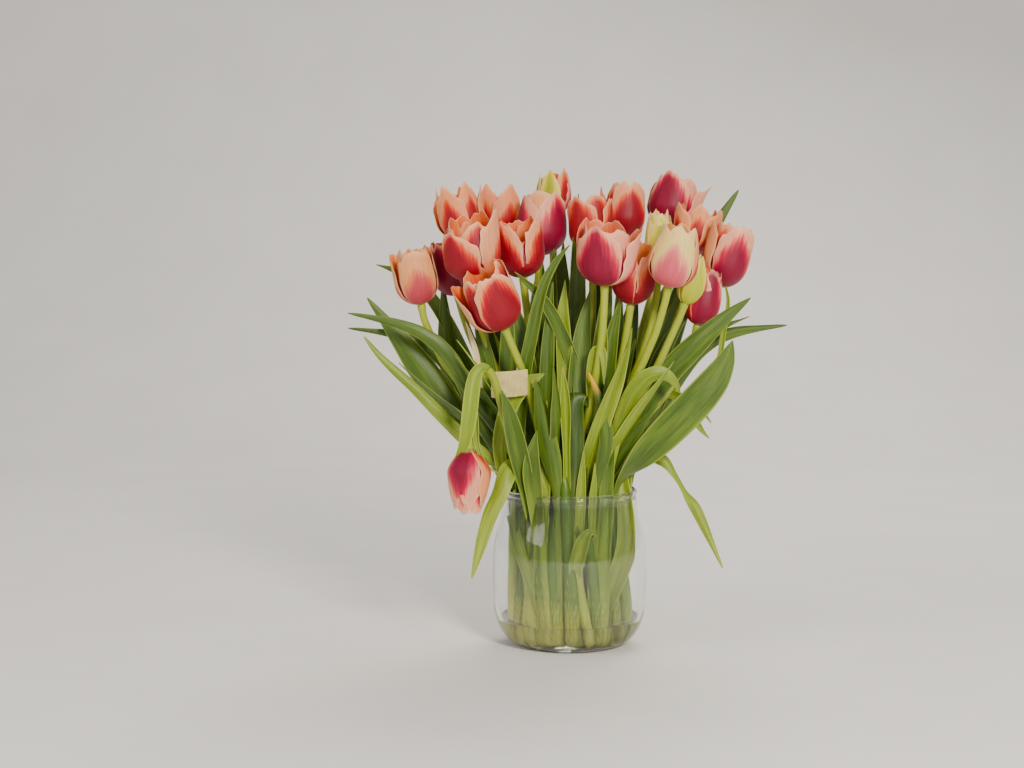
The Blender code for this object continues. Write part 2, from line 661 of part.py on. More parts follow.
def build_tape(paths, collection):
    """A strip bent round the front of the stems nearest to it, leaning with them."""
    middle = VASE_HEIGHT + TAPE_ABOVE_RIM
    heights = np.linspace(middle - TAPE_HEIGHT, middle + TAPE_HEIGHT, 13)
    reach = TAPE_WIDTH / 2 + STEM_RADIUS + STEM_GAP
    met = []
    for name, points in paths.items():
        line = np.array(points)
        x, y = (np.interp(heights, line[:, 2], line[:, k]) for k in range(2))
        if name != HANGING and np.any(np.abs(x - TAPE_X) < reach):
            met.append((x, y))
    front = min(met, key=lambda one: one[1].mean(), default=(heights * 0 + TAPE_X, heights * 0 - BUNDLE_FOOT))[1]
    lean = (front[-1] - front[0]) / (heights[-1] - heights[0])
    start = front.mean()
    for x, y in met:
        off = np.clip(np.abs(x - TAPE_X), 0, TAPE_RADIUS)
        drop = TAPE_RADIUS - np.sqrt(TAPE_RADIUS**2 - off**2)
        near = off < reach
        if near.any():
            start = min(start, (y - lean * (heights - middle) - drop)[near].min())
    start -= STEM_RADIUS * math.hypot(1, lean) + TAPE_STANDOFF
    bm = bmesh.new()
    bmesh.ops.create_grid(bm, x_segments=10, y_segments=2, size=0.5)
    spread = TAPE_WIDTH / TAPE_RADIUS
    for vertex in bm.verts:
        turn = vertex.co.x * spread
        rise = vertex.co.y * TAPE_HEIGHT
        vertex.co = Vector(
            (
                TAPE_X + TAPE_RADIUS * math.sin(turn),
                start + lean * rise + TAPE_RADIUS * (1 - math.cos(turn)),
                middle + rise,
            )
        )
    obj = add("paper_tape", mesh_from(bm, "paper_tape"), "paper", collection)
    solid = obj.modifiers.new("Thickness", "SOLIDIFY")
    solid.thickness = TAPE_THICK
    solid.offset = 0.0
    return obj


def main():
    clear_scene()
    parts = new_collection("tulips_in_vase")
    helpers = new_collection("helpers")
    heads = [Head(name, *row) for name, row in HEADS.items()]
    spread_heads(heads)
    leaves = [Leaf(name, *row) for name, row in LEAVES.items()]
    build_vase(parts)
    cutters, paths = build_stems(heads, leaves, parts, helpers)
    build_water(parts, cutters)
    for head in heads:
        build_head(head, parts)
    x, y, above, length, width = HANGING_HEAD
    drooping = Head(HANGING, x, y, above, length, width, 0, "flower")
    drooping.axis = unit(np.array([-0.04, 0.0, -1.0]))
    end = np.array(paths[HANGING][-1])
    drooping.middle = end + drooping.axis * (length * MM / 2 + CLEAR)
    build_head(drooping, parts)
    for leaf in leaves:
        build_leaf(leaf, parts)
    build_tape(paths, parts)
    helpers.hide_render = True


main()
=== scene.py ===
import math
import random

import bmesh
import bpy
import numpy as np
from mathutils import Matrix, Vector, noise


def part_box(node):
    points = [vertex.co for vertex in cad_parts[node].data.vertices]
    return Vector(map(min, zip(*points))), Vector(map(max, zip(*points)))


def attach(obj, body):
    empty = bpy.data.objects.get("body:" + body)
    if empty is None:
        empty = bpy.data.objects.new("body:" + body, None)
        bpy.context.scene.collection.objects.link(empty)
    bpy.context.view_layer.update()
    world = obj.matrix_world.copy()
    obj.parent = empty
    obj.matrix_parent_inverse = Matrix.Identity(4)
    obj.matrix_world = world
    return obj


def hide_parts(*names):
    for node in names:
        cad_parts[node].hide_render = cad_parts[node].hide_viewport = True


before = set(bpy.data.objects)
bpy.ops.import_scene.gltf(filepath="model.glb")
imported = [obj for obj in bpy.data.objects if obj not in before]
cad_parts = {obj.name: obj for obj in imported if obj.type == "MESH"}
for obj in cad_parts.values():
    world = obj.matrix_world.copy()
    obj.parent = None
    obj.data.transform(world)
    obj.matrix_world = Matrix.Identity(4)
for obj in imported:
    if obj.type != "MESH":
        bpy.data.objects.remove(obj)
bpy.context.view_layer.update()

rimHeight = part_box("vase")[1].z
mm = 0.001
print("frame loaded:", len(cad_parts), "nodes, rim at", round(rimHeight / mm, 1), "mm")


def colour(hexValue):
    # sRGB hex to the linear colour that a socket takes
    parts = [int(hexValue[k:k + 2], 16) / 255 for k in (1, 3, 5)]
    linear = [p / 12.92 if p <= 0.04045 else ((p + 0.055) / 1.055) ** 2.4 for p in parts]
    return (*linear, 1.0)


class Wire:
    # what comes out of a node, worked with like a number: each step adds a Math node
    def __init__(self, tree, socket):
        self.tree = tree
        self.socket = socket

    def step(self, operation, *others):
        return addNode(self.tree, "Math", {"operation": operation, **dict(enumerate((self, *others)))})

    def __add__(self, other):
        return self.step("ADD", other)

    def __sub__(self, other):
        return self.step("SUBTRACT", other)

    def __mul__(self, other):
        return self.step("MULTIPLY", other)

    def __truediv__(self, other):
        return self.step("DIVIDE", other)

    def __pow__(self, other):
        return self.step("POWER", other)

    def __abs__(self):
        return self.step("ABSOLUTE")

    def __rsub__(self, other):
        return addNode(self.tree, "Math", {"operation": "SUBTRACT", 0: other, 1: self})


def addNode(tree, kind, settings=None, outputs=0):
    # one node with its settings and links; a number as a name is the place of a socket
    node = tree.nodes.new("ShaderNode" + kind)
    for name, value in (settings or {}).items():
        if name == "stops":
            ramp = node.color_ramp.elements
            while len(ramp) < len(value):
                ramp.new(0.5)
            for element, (place, shade) in zip(ramp, value):
                element.position = place
                element.color = colour(shade) if isinstance(shade, str) else (shade, shade, shade, 1.0)
        elif isinstance(value, Wire):
            tree.links.new(value.socket, node.inputs[name])
        elif isinstance(name, int) or name in node.inputs:
            node.inputs[name].default_value = value
        else:
            setattr(node, name, value)
    if isinstance(outputs, tuple):
        return [Wire(tree, node.outputs[name]) for name in outputs]
    return Wire(tree, node.outputs[outputs])


def newMaterial(name, constants):
    made = bpy.data.materials.new(name)
    made.use_nodes = True
    for socket, value in constants.items():
        made.node_tree.nodes["Principled BSDF"].inputs[socket].default_value = value
    return made, made.node_tree


def dress(tree, skin=None, relief=None, strength=0.0, depth=0.0, rough=None):
    # the colour, the small relief and the roughness go into the shader
    bump = {"Strength": strength, "Distance": depth, "Height": relief}
    normal = addNode(tree, "Bump", bump) if relief else None
    for name, wire in (("Base Color", skin), ("Normal", normal), ("Roughness", rough)):
        if wire:
            tree.links.new(wire.socket, tree.nodes["Principled BSDF"].inputs[name])


def alongPiece(tree, uvMap):
    # u across or round the piece and v along it
    return addNode(tree, "SeparateXYZ", {0: addNode(tree, "UVMap", {"uv_map": uvMap})}, ("X", "Y"))


def stretched(tree, spot, settings):
    # noise that runs along the piece as fast as each of its coordinates is scaled
    place = addNode(tree, "CombineXYZ", dict(enumerate(spot)))
    return addNode(tree, "TexNoise", {"Scale": 1.0, **settings, "Vector": place})


def objectNoise(tree, scale, detail):
    place = addNode(tree, "TexCoord", None, "Object")
    return addNode(tree, "TexNoise", {"Scale": scale, "Detail": detail, "Vector": place})


def smoothObject(bm, name, materials):
    # an object at the origin, smooth all over
    data = bpy.data.meshes.new(name)
    bm.to_mesh(data)
    bm.free()
    data.polygons.foreach_set("use_smooth", [True] * len(data.polygons))
    for material in materials:
        data.materials.append(material)
    made = bpy.data.objects.new(name, data)
    bpy.context.scene.collection.objects.link(made)
    return made


def finishPiece(bm, name, materials, nodes=(), facesOut=False):
    # a piece that rides on the root and stands for the nodes
    if not facesOut:
        bmesh.ops.recalc_face_normals(bm, faces=bm.faces)
    piece = smoothObject(bm, name, materials)
    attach(piece, "root")
    for node in nodes:
        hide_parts(node)
    return piece


def addSubdivision(piece, levels=1):
    modifier = piece.modifiers.new("subdivision", "SUBSURF")
    modifier.levels = levels
    modifier.render_levels = levels


def addThickness(piece, thickness, insideSlot=0):
    modifier = piece.modifiers.new("thickness", "SOLIDIFY")
    modifier.thickness = thickness
    modifier.offset = 0.0
    modifier.material_offset = insideSlot
    modifier.use_even_offset = False


def uvGrid(uvMap, columns, rows, heights=None):
    # a grid from -1 to 1 both ways; v runs from 0 to 1, or through the heights of its rows
    bm = bmesh.new()
    bmesh.ops.create_grid(bm, x_segments=columns, y_segments=rows, size=1.0)
    layer = bm.loops.layers.uv.new(uvMap)
    for face in bm.faces:
        for loop in face.loops:
            u, v = (loop.vert.co.x + 1) / 2, (loop.vert.co.y + 1) / 2
            loop[layer].uv = (u, v if heights is None else heights[round(v * rows)])
    return bm


def setAttribute(bm, values, name):
    layer = bm.verts.layers.float_vector.new(name)
    for vert, value in zip(bm.verts, values):
        vert[layer] = Vector(value)


def unit(v):
    return v / max(np.linalg.norm(v), 1e-12)


def directions(line):
    return np.array([unit(t) for t in np.gradient(line, axis=0)])


def distances(line):
    # how far along the line each of its points is
    return np.concatenate([[0], np.cumsum(np.linalg.norm(np.diff(line, axis=0), axis=1))])


def smoothTrack(points, rounds):
    points = points.copy()
    for _ in range(rounds):
        points[1:-1] = 0.25 * points[:-2] + 0.5 * points[1:-1] + 0.25 * points[2:]
    return points


def resample(rows, count):
    along = distances(rows[:, :3])
    places = np.linspace(0, along[-1], count)
    return np.array([np.interp(places, along, column) for column in rows.T]).T


def spline(spots, count):
    # a smooth line through the spots, evenly spaced; columns past the third go along
    ends = np.vstack([2 * spots[0] - spots[1], spots, 2 * spots[-1] - spots[-2]])
    fine = []
    for a, b, c, d in zip(ends, ends[1:], ends[2:], ends[3:]):
        for t in np.linspace(0, 1, 16, endpoint=False):
            fine.append(0.5 * (2 * b + (c - a) * t + (2 * a - 5 * b + 4 * c - d) * t ** 2
                               + (3 * b - a - 3 * c + d) * t ** 3))
    return resample(np.array([*fine, spots[-1]]), count)


def heldIn(line, limit):
    # the line, drawn in where it stands farther from the upright axis than the limit
    share = np.minimum(1, limit / np.maximum(np.linalg.norm(line[:, :2], axis=1), 1e-6))
    return line * np.stack([share, share, np.ones(len(line))], axis=1)


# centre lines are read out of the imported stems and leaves
def nodeTriangles(name):
    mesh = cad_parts[name].data
    mesh.calc_loop_triangles()
    points = np.empty(len(mesh.vertices) * 3)
    mesh.vertices.foreach_get("co", points)
    corners = np.empty(len(mesh.loop_triangles) * 3, int)
    mesh.loop_triangles.foreach_get("vertices", corners)
    return points.reshape(-1, 3)[corners].reshape(-1, 3, 3)


def cutThrough(triangles, spot, heading, reach):
    # the short lines in which a plane cuts the triangles, near the spot
    away = (triangles - spot) @ heading
    hit = (away.min(1) < 0) & (away.max(1) > 0)
    cuts = []
    for corners, d in zip(triangles[hit], away[hit]):
        ends = [corners[a] + (corners[b] - corners[a]) * d[a] / (d[a] - d[b])
                for a, b in ((0, 1), (1, 2), (2, 0)) if d[a] * d[b] < 0]
        if len(ends) == 2:
            cuts.append(ends)
    cuts = np.array(cuts).reshape(-1, 2, 3)
    return cuts[np.linalg.norm(cuts.mean(1) - spot, axis=1) < reach]


traceSettings = {"step": 4 * mm, "mostSteps": 200, "firstHalf": 6 * mm, "foot": 0.6 * mm, "start": 0.5 * mm,
                 "reach": 1.35, "margin": 3 * mm, "keepHeading": 0.35}


def trace(name):
    # centre, widest direction and half width at each step along a stem or leaf, from its foot up
    s = traceSettings
    triangles = nodeTriangles(name)
    points = triangles.reshape(-1, 3)
    lowest = points[:, 2].min()
    heading, half, rows = np.array([0.0, 0, 1]), s["firstHalf"], []
    spot = points[points[:, 2] < lowest + s["foot"]].mean(0) + heading * s["start"]
    for _ in range(s["mostSteps"]):
        cuts = cutThrough(triangles, spot, heading, s["reach"] * half + s["margin"])
        if len(cuts) < 3:
            break
        weights = np.linalg.norm(cuts[:, 1] - cuts[:, 0], axis=1) + 1e-9
        centre = (cuts.mean(1) * weights[:, None]).sum(0) / weights.sum()
        around = (cuts - centre).reshape(-1, 3)
        weighted = around * np.repeat(np.sqrt(weights), 2)[:, None]
        widest = np.linalg.svd(weighted, full_matrices=False)[2][0]
        if rows and widest @ rows[-1][3:6] < 0:
            widest = -widest
        half = np.abs(around @ widest).max()
        if rows:
            heading = unit(s["keepHeading"] * heading + (1 - s["keepHeading"]) * unit(centre - rows[-1][:3]))
        rows.append(np.concatenate([centre, widest, [half]]))
        spot = centre + heading * s["step"]
    last = rows[-1][:3]
    near = points[np.linalg.norm(points - last, axis=1) < 1.5 * s["step"] + half]
    tip = last + heading * ((near - last) @ heading).max()
    rows.append(np.concatenate([tip, rows[-1][3:6], [0.3 * half]]))
    rows[0][:3] -= (rows[0][2] - lowest) * np.array([0, 0, 1.0])
    return np.array(rows)


stageSettings = {
    "cameraPlace": (-0.058, -2.0, 0.431),
    "cameraTarget": (-0.058, 0.0, 0.262),
    "lens": 70.5, "sensorWidth": 36, "clipEnd": 50,
    "floorHalf": 6.0, "wallPlace": 2.6, "wallHeight": 4.0, "sweepRadius": 1.2, "sweepSteps": 16,
    "floorHeight": -0.5 * mm, "skyColour": "#E9EBEE", "worldStrength": 0.42,
    "lampColour": "#FFF6EC", "lampTarget": (0, 0, 0.25),
    # place, size, power
    "lamps": {"keyLight": ((0.75, -2.3, 1.25), 0.5, 74), "fillLight": ((-2.0, -1.2, 1.3), 1.3, 16),
              "backLight": ((0.5, 1.5, 1.9), 1.4, 34)},
}


def aim(thing, place, target):
    thing.location = place
    thing.rotation_euler = (Vector(target) - Vector(place)).to_track_quat("-Z", "Y").to_euler()
    bpy.context.scene.collection.objects.link(thing)


def buildStage():
    s = stageSettings
    data = bpy.data.cameras.new("camera")
    data.lens = s["lens"]
    data.sensor_width = s["sensorWidth"]
    data.clip_end = s["clipEnd"]
    camera = bpy.data.objects.new("camera", data)
    aim(camera, s["cameraPlace"], s["cameraTarget"])
    bpy.context.scene.camera = camera
    for name, (place, size, power) in s["lamps"].items():
        lamp = bpy.data.lights.new(name, "AREA")
        lamp.size = size
        lamp.energy = power
        lamp.color = colour(s["lampColour"])[:3]
        aim(bpy.data.objects.new(name, lamp), place, s["lampTarget"])
    world = bpy.context.scene.world or bpy.data.worlds.new("world")
    bpy.context.scene.world = world
    world.use_nodes = True
    sky = world.node_tree.nodes["Background"].inputs
    sky["Color"].default_value = colour(s["skyColour"])
    sky["Strength"].default_value = s["worldStrength"]


def buildFloor():
    # Painted board, rolled matt and faintly mottled, that sweeps up into the wall behind
    s = stageSettings
    material, tree = newMaterial("paintedBoardFloor", {"Roughness": 0.85})
    mottle = objectNoise(tree, 6.0, 4.0)
    dress(tree, addNode(tree, "ValToRGB", {"stops": [(0.3, "#EDEBE6"), (0.7, "#F2F0EB")], "Fac": mottle}))
    bm = bmesh.new()
    first = [bm.verts.new((x, -s["floorHalf"], s["floorHeight"])) for x in (-s["floorHalf"], s["floorHalf"])]
    edge = bm.edges.new(first)
    bends = [math.pi / 2 * k / s["sweepSteps"] for k in range(s["sweepSteps"] + 1)]
    spots = [(s["wallPlace"] - s["sweepRadius"] * (1 - math.sin(a)), s["sweepRadius"] * (1 - math.cos(a)))
             for a in bends]
    for y, z in [*spots, (s["wallPlace"], s["wallHeight"])]:
        made = bmesh.ops.extrude_edge_only(bm, edges=[edge])["geom"]
        edge = [g for g in made if isinstance(g, bmesh.types.BMEdge)][0]
        for vert in edge.verts:
            vert.co.y, vert.co.z = y, z + s["floorHeight"]
    bmesh.ops.recalc_face_normals(bm, faces=bm.faces)
    floor = smoothObject(bm, "floor", [material])


petalSkins = {
    # margin, pale band, warm band, flame, heart of the flame, inside low, inside high
    "flamed": ("#F6A274", "#EC7646", "#D8341E", "#B80422", "#92001C", "#D23404", "#F08440"),
    "salmon": ("#F29A64", "#E86C38", "#DC4420", "#C21418", "#A00418", "#D84404", "#F28836"),
    "rose": ("#F6A486", "#EC6E5C", "#D42446", "#B6003C", "#880030", "#C6320C", "#EC8A5A"),
    "blush": ("#EEA268", "#E6824E", "#E07656", "#D25A52", "#BE3E4A", "#DA721E", "#F0A458"),
    "egg": ("#F2D27A", "#F0B07A", "#EC9278", "#E2726C", "#D65464", "#DA8430", "#F0B864"),
    "greenStreaked": ("#F4DC74", "#E6D63C", "#D0CA2A", "#BAB81C", "#9AA814", "#C4B030", "#EED678"),
    "greenBud": ("#ECE648", "#E2DE38", "#D6D42C", "#C8CA24", "#B6BE20", "#B4B430", "#DCD458"),
}
petalShader = {
    "Subsurface Weight": 0.12, "Subsurface Radius": (1.0, 0.35, 0.2), "Subsurface Scale": 2 * mm,
    "Sheen Weight": 0.05, "Sheen Roughness": 0.4, "Specular IOR Level": 0.3,
}


def flamePetal(name, shades):
    # Tulip petal, grown: a satin skin with fine ribs along it, and a red flame feathered into a pale margin
    made, tree = newMaterial(name, petalShader)
    u, v = alongPiece(tree, "petal")
    bloom = addNode(tree, "Attribute", {"attribute_name": "bloom"}, "Vector")
    tall, wide, seed = addNode(tree, "SeparateXYZ", {0: bloom}, ("X", "Y", "Z"))
    across = abs(u * 2.0 - 1.0)
    # feathering: streaks about 1.5 mm apart that run from the foot of the petal to its tip
    streak = stretched(tree, (u * 24.0, v * 1.6, seed * 37.0), {"Detail": 3.0, "Roughness": 0.6})
    patch = stretched(tree, (u * 3.0, v * 3.0, seed * 71.0), {"Detail": 2.0})
    half = wide * 1.1 * (1.0 - (v / tall) ** 2.3)
    lead = half - across + ((streak - 0.5) * 0.75 + (patch - 0.5) * 0.5)
    mask = addNode(tree, "MapRange", {"From Min": -0.50, "From Max": 0.28, "Value": lead})
    stops = list(zip((0.0, 0.20, 0.42, 0.58, 0.92), shades))
    skin = addNode(tree, "ValToRGB", {"stops": stops, "Fac": mask})
    # fine ribs, a shade lighter and darker, and a paler rim along the edges and the tip that is a painted
    # highlight
    rib = stretched(tree, (u * 85.0, v * 2.5, seed), {"Detail": 1.0})
    ribShade = addNode(tree, "ValToRGB", {"stops": [(0.3, 0.72), (0.7, 1.0)], "Fac": rib})
    skin = addNode(tree, "Mix", {"data_type": "RGBA", "blend_type": "MULTIPLY", 0: 0.8, 6: skin,
                                 7: ribShade}, 2)
    # painted highlight: the sides and the tip of the petal are blended towards a pale cream
    side, end = [addNode(tree, "MapRange", {"From Min": 0.90, "From Max": 1.0, "Value": run})
                 for run in (across, v)]
    edge = side.step("MAXIMUM", end)
    skin = addNode(tree, "Mix", {"data_type": "RGBA", 0: edge * 0.55, 6: skin, 7: colour("#FCC49A")}, 2)
    foot = addNode(tree, "MapRange", {"From Min": 0.10, "From Max": 0.0, "To Max": 0.75, "Value": v})
    skin = addNode(tree, "Mix", {"data_type": "RGBA", 0: foot, 6: skin, 7: colour("#C9C27A")}, 2)
    rough = addNode(tree, "MapRange", {"To Min": 0.42, "To Max": 0.58, "Value": rib})
    dress(tree, skin, rib, 0.35, 0.4 * mm, rough)
    return made


def petalInside(name, shades):
    # Inner face of a tulip petal: smoother and more orange, with a yellow foot and thin darker veins
    margin, low, high = shades[0], shades[5], shades[6]
    made, tree = newMaterial(name, {**petalShader, "Roughness": 0.45})
    u, v = alongPiece(tree, "petal")
    across = abs(u * 2.0 - 1.0)
    vein = stretched(tree, (u * 30.0, v * 2.0), {"Detail": 3.0})
    reach = v * 0.75 + across * 0.30 + (vein - 0.5) * 0.35
    stops = [(0.05, "#C8B04A"), (0.22, low), (0.55, low), (0.85, high), (1.0, margin)]
    dress(tree, addNode(tree, "ValToRGB", {"stops": stops, "Fac": reach}), vein, 0.25, 0.3 * mm)
    return made


leafSkins = {
    # dark, middle, light, edge: the edge is a paler rim, partly the thin pale margin of a leaf and partly a
    # painted highlight
    "leaf": ("#2E4208", "#48640C", "#6C8418", "#A2B040"),
    "paleLeaf": ("#56700C", "#7A9014", "#9CAE2C", "#BECC5C"),
    "darkLeaf": ("#1E3206", "#324C0A", "#506A12", "#8CA040"),
    "dryLeaf": ("#B79A55", "#D8C48A", "#EADBB0", "#F0E6C8"),
}


def leafBlade(name, shades):
    # Tulip leaf, grown: waxy grey-green skin with close parallel veins, a paler rim that is partly a painted
    # highlight, and some dry tips
    dark, middle, light, rim = shades
    made, tree = newMaterial(name, {"Specular IOR Level": 0.45, "Subsurface Weight": 0.08,
                                    "Subsurface Radius": (0.3, 1.0, 0.1), "Subsurface Scale": 1 * mm})
    u, v = alongPiece(tree, "blade")
    growth = addNode(tree, "Attribute", {"attribute_name": "growth"}, "Vector")
    share, dry, seed = addNode(tree, "SeparateXYZ", {0: growth}, ("X", "Y", "Z"))
    across = abs(u * 2.0 - 1.0)
    # veins about 1 mm apart on a blade 25 mm wide
    vein = stretched(tree, (u * 26.0, v * 0.8, seed), {"Detail": 2.0, "Roughness": 0.6})
    wax = stretched(tree, (u * 5.0, v * 0.5, seed * 53.0), {"Detail": 5.0, "Roughness": 0.55})
    tone = wax * 0.65 + vein * 0.35
    skin = addNode(tree, "ValToRGB", {"stops": [(0.30, dark), (0.50, middle), (0.72, light)], "Fac": tone})
    # the foot of the leaf, which wraps the stem, is paler, the more so the lower it stands in the jar: partly
    # the real pale foot of a leaf, partly painted light making up for the light that the glass and water hold
    # back
    level = addNode(tree, "SeparateXYZ", {0: addNode(tree, "TexCoord", None, "Object")}, "Z")
    foot = addNode(tree, "MapRange", {"From Min": rimHeight + 0.03, "From Max": 0.03, "To Max": 0.9,
                                      "Value": level})
    paleFootAndPaintedLight = addNode(tree, "ValToRGB", {"stops": [(0.3, "#7C9418"), (0.7, "#B8C448")], "Fac": tone})
    skin = addNode(tree, "Mix", {"data_type": "RGBA", 0: foot, 6: skin, 7: paleFootAndPaintedLight}, 2)
    # the rim: partly the leaf's thin pale margin, partly a painted highlight along its edges
    edge = addNode(tree, "MapRange", {"From Min": 0.86, "From Max": 0.98, "Value": across})
    skin = addNode(tree, "Mix", {"data_type": "RGBA", 0: edge * 0.7, 6: skin, 7: colour(rim)}, 2)
    dried = share - 1.0 + (dry + (vein - 0.5) * 0.06)
    straw = addNode(tree, "MapRange", {"From Min": 0.0, "From Max": 0.05, "Value": dried})
    skin = addNode(tree, "Mix", {"data_type": "RGBA", 0: straw, 6: skin, 7: colour("#CE9C14")}, 2)
    rough = addNode(tree, "MapRange", {"To Min": 0.34, "To Max": 0.55, "Value": wax})
    dress(tree, skin, vein, 0.4, 0.5 * mm, rough)
    return made


stemSkins = {
    # foot, middle, top: the foot colours are pale, partly as stems are under water and partly as painted light
    # lifting them where the glass and water hold back the light
    "tulipStemSkin": ("#BCC450", "#86981C", "#9CAA26"),
    "paleRolledLeaf": ("#F6F27C", "#BCC834", "#8CA41C"),
    "greenRolledLeaf": ("#EEE868", "#8CA41C", "#5E7E10"),
    "darkRolledLeaf": ("#DCDC54", "#648214", "#48660C"),
}


def stemSkin(name):
    # Tulip stem, grown: smooth and juicy with fine lengthwise streaks, paler near the flower, and paler under
    # water, partly its own colour and partly painted light where the glass and water hold back the light
    low, middle, high = stemSkins[name]
    made, tree = newMaterial(name, {
        "Roughness": 0.38, "Specular IOR Level": 0.45, "Subsurface Weight": 0.1,
        "Subsurface Radius": (0.4, 1.0, 0.15), "Subsurface Scale": 2 * mm})
    u, v = alongPiece(tree, "stem")
    growth = addNode(tree, "Attribute", {"attribute_name": "growth"}, "Vector")
    share = addNode(tree, "SeparateXYZ", {0: growth}, "X")
    turn = u * (2 * math.pi)
    ring = (turn.step("SINE"), turn.step("COSINE"), v * 0.25)
    streak = stretched(tree, ring, {"Scale": 6.0, "Detail": 3.0})
    patch = objectNoise(tree, 14.0, 3.0)
    tone = share * 0.8 + (streak + (patch - 1.0)) * 0.5
    # the foot end takes the pale foot colour: partly the stem's own colour, partly painted light inside the
    # jar
    skin = addNode(tree, "ValToRGB", {"stops": [(0.0, low), (0.24, middle), (0.8, high)], "Fac": tone})
    dress(tree, skin, streak, 0.2, 0.3 * mm)
    return made


def jarGlass():
    # Soda-lime glass, pressed: clear with a faint green cast and slightly wavy walls
    made, tree = newMaterial("pressedSodaLimeGlass", {
        "Base Color": colour("#FCFFFC"), "Roughness": 0.0, "IOR": 1.5, "Specular IOR Level": 0.3,
        "Transmission Weight": 1.0})
    dress(tree, None, objectNoise(tree, 28.0, 1.0), 0.2, 0.5 * mm)
    return made


def jarWater():
    # Tap water that cut stems have stood in: clear with a faint green-yellow cast
    made, tree = newMaterial("vaseWater", {
        "Base Color": colour("#FBFDF3"), "Roughness": 0.0, "IOR": 1.333, "Transmission Weight": 1.0})
    dress(tree, None, objectNoise(tree, 60.0, 1.0), 0.08, 0.3 * mm)
    return made


def crepeTape():
    # Masking tape, creped paper: matt beige with fine cross creases and darker, grubby patches
    made, tree = newMaterial("crepedPaperTape", {"Roughness": 0.8})
    uv = addNode(tree, "UVMap", {"uv_map": "tape"})
    stretch = addNode(tree, "Mapping", {"Scale": (34.0, 4.0, 1.0), "Vector": uv})
    crease = addNode(tree, "TexNoise", {"Scale": 1.0, "Detail": 4.0, "Distortion": 0.6, "Vector": stretch})
    stain = addNode(tree, "TexNoise", {"Scale": 3.0, "Detail": 3.0, "Vector": uv})
    stops = [(0.3, "#BAA65C"), (0.5, "#D4C27C"), (0.7, "#E4D69C")]
    skin = addNode(tree, "ValToRGB", {"stops": stops, "Fac": crease * 0.6 + stain * 0.4})
    dress(tree, skin, crease, 0.5, 0.3 * mm)
    return made


def pollenAndPistil():
    # Tulip heart: greasy yellow-green pistil, dusty dark anthers above it
    made, tree = newMaterial("pistilAndPollen", {"Roughness": 0.75})
    grain = objectNoise(tree, 900.0, 2.0)
    dress(tree, addNode(tree, "ValToRGB", {"stops": [(0.35, "#3A2B1C"), (0.6, "#8E8A3C")], "Fac": grain}))
    return made


jarSettings = {
    "belly": 77 * mm, "rim": 67 * mm, "foot": 50 * mm, "wall": 4 * mm, "floor": 8 * mm,
    "cornerHeight": 45 * mm, "shoulderHeight": 90 * mm, "neck": 10 * mm, "bead": 2.7 * mm,
    "steps": 128, "curveSteps": 14, "evenSpots": 60, "easing": 14,
    "waterLevel": 27 * mm, "meniscus": 1.2 * mm, "overlap": 0.15 * mm,
    # the shallow hollow under the foot, as a pressed jar has: share of the foot's radius, height
    "hollow": ((0.0, 2 * mm), (0.5, 1.9 * mm), (0.8, 1.2 * mm), (0.9, 0.3 * mm), (0.93, 0.0)),
}


def wallOutline(inset, footInset, low):
    # the bowl and the shoulder, blended into each other, as blown and pressed glass flows
    j = jarSettings
    foot, belly, rim = j["foot"] + footInset, j["belly"] - inset, j["rim"] - inset
    shares = [k / j["curveSteps"] for k in range(j["curveSteps"] + 1)]
    bowl = [(foot + (belly - foot) * math.sin(math.pi / 2 * s),
             low + (j["cornerHeight"] - low) * (1 - math.cos(math.pi / 2 * s))) for s in shares]
    rise = rimHeight - j["neck"] - j["shoulderHeight"]
    shoulder = [(rim + (belly - rim) * (0.5 + 0.5 * math.cos(math.pi * s)), j["shoulderHeight"] + rise * s)
                for s in shares]
    spots = np.array(bowl + shoulder)
    along = distances(spots)
    even = np.linspace(0, along[-1], j["evenSpots"])
    spots = np.stack([np.interp(even, along, spots[:, c]) for c in (0, 1)], axis=1)
    return [tuple(spot) for spot in smoothTrack(spots, j["easing"])]


innerWall = wallOutline(jarSettings["wall"], jarSettings["wall"] / 2, jarSettings["floor"])
innerRadii, innerHeights = zip(*innerWall)


def spinOutline(outline):
    # turns an outline of (radius, height) points round the upright axis, closed at the axis
    bm = bmesh.new()
    verts = [bm.verts.new((r, 0, z)) for r, z in outline]
    for a, b in zip(verts, verts[1:]):
        bm.edges.new((a, b))
    bmesh.ops.spin(bm, geom=bm.verts[:] + bm.edges[:], cent=(0, 0, 0), axis=(0, 0, 1), angle=2 * math.pi,
                   steps=jarSettings["steps"], use_merge=True)
    bmesh.ops.remove_doubles(bm, verts=bm.verts, dist=1e-5)
    return bm


def buildJar(glass):
    j = jarSettings
    # rolled rim: a bead a little thicker than the wall
    middle, half = j["rim"] - j["wall"] / 2, j["bead"]
    bead = [(middle + half * math.cos(a), rimHeight - half + half * math.sin(a))
            for a in np.radians(np.linspace(-50, 230, 19))]
    hollow = [(j["foot"] * share, height) for share, height in j["hollow"]]
    outline = hollow + wallOutline(0.0, 0.0, 0.0) + bead + innerWall[::-1] + [(0.0, j["floor"])]
    finishPiece(spinOutline(outline), "jar", [glass], ["vase"])


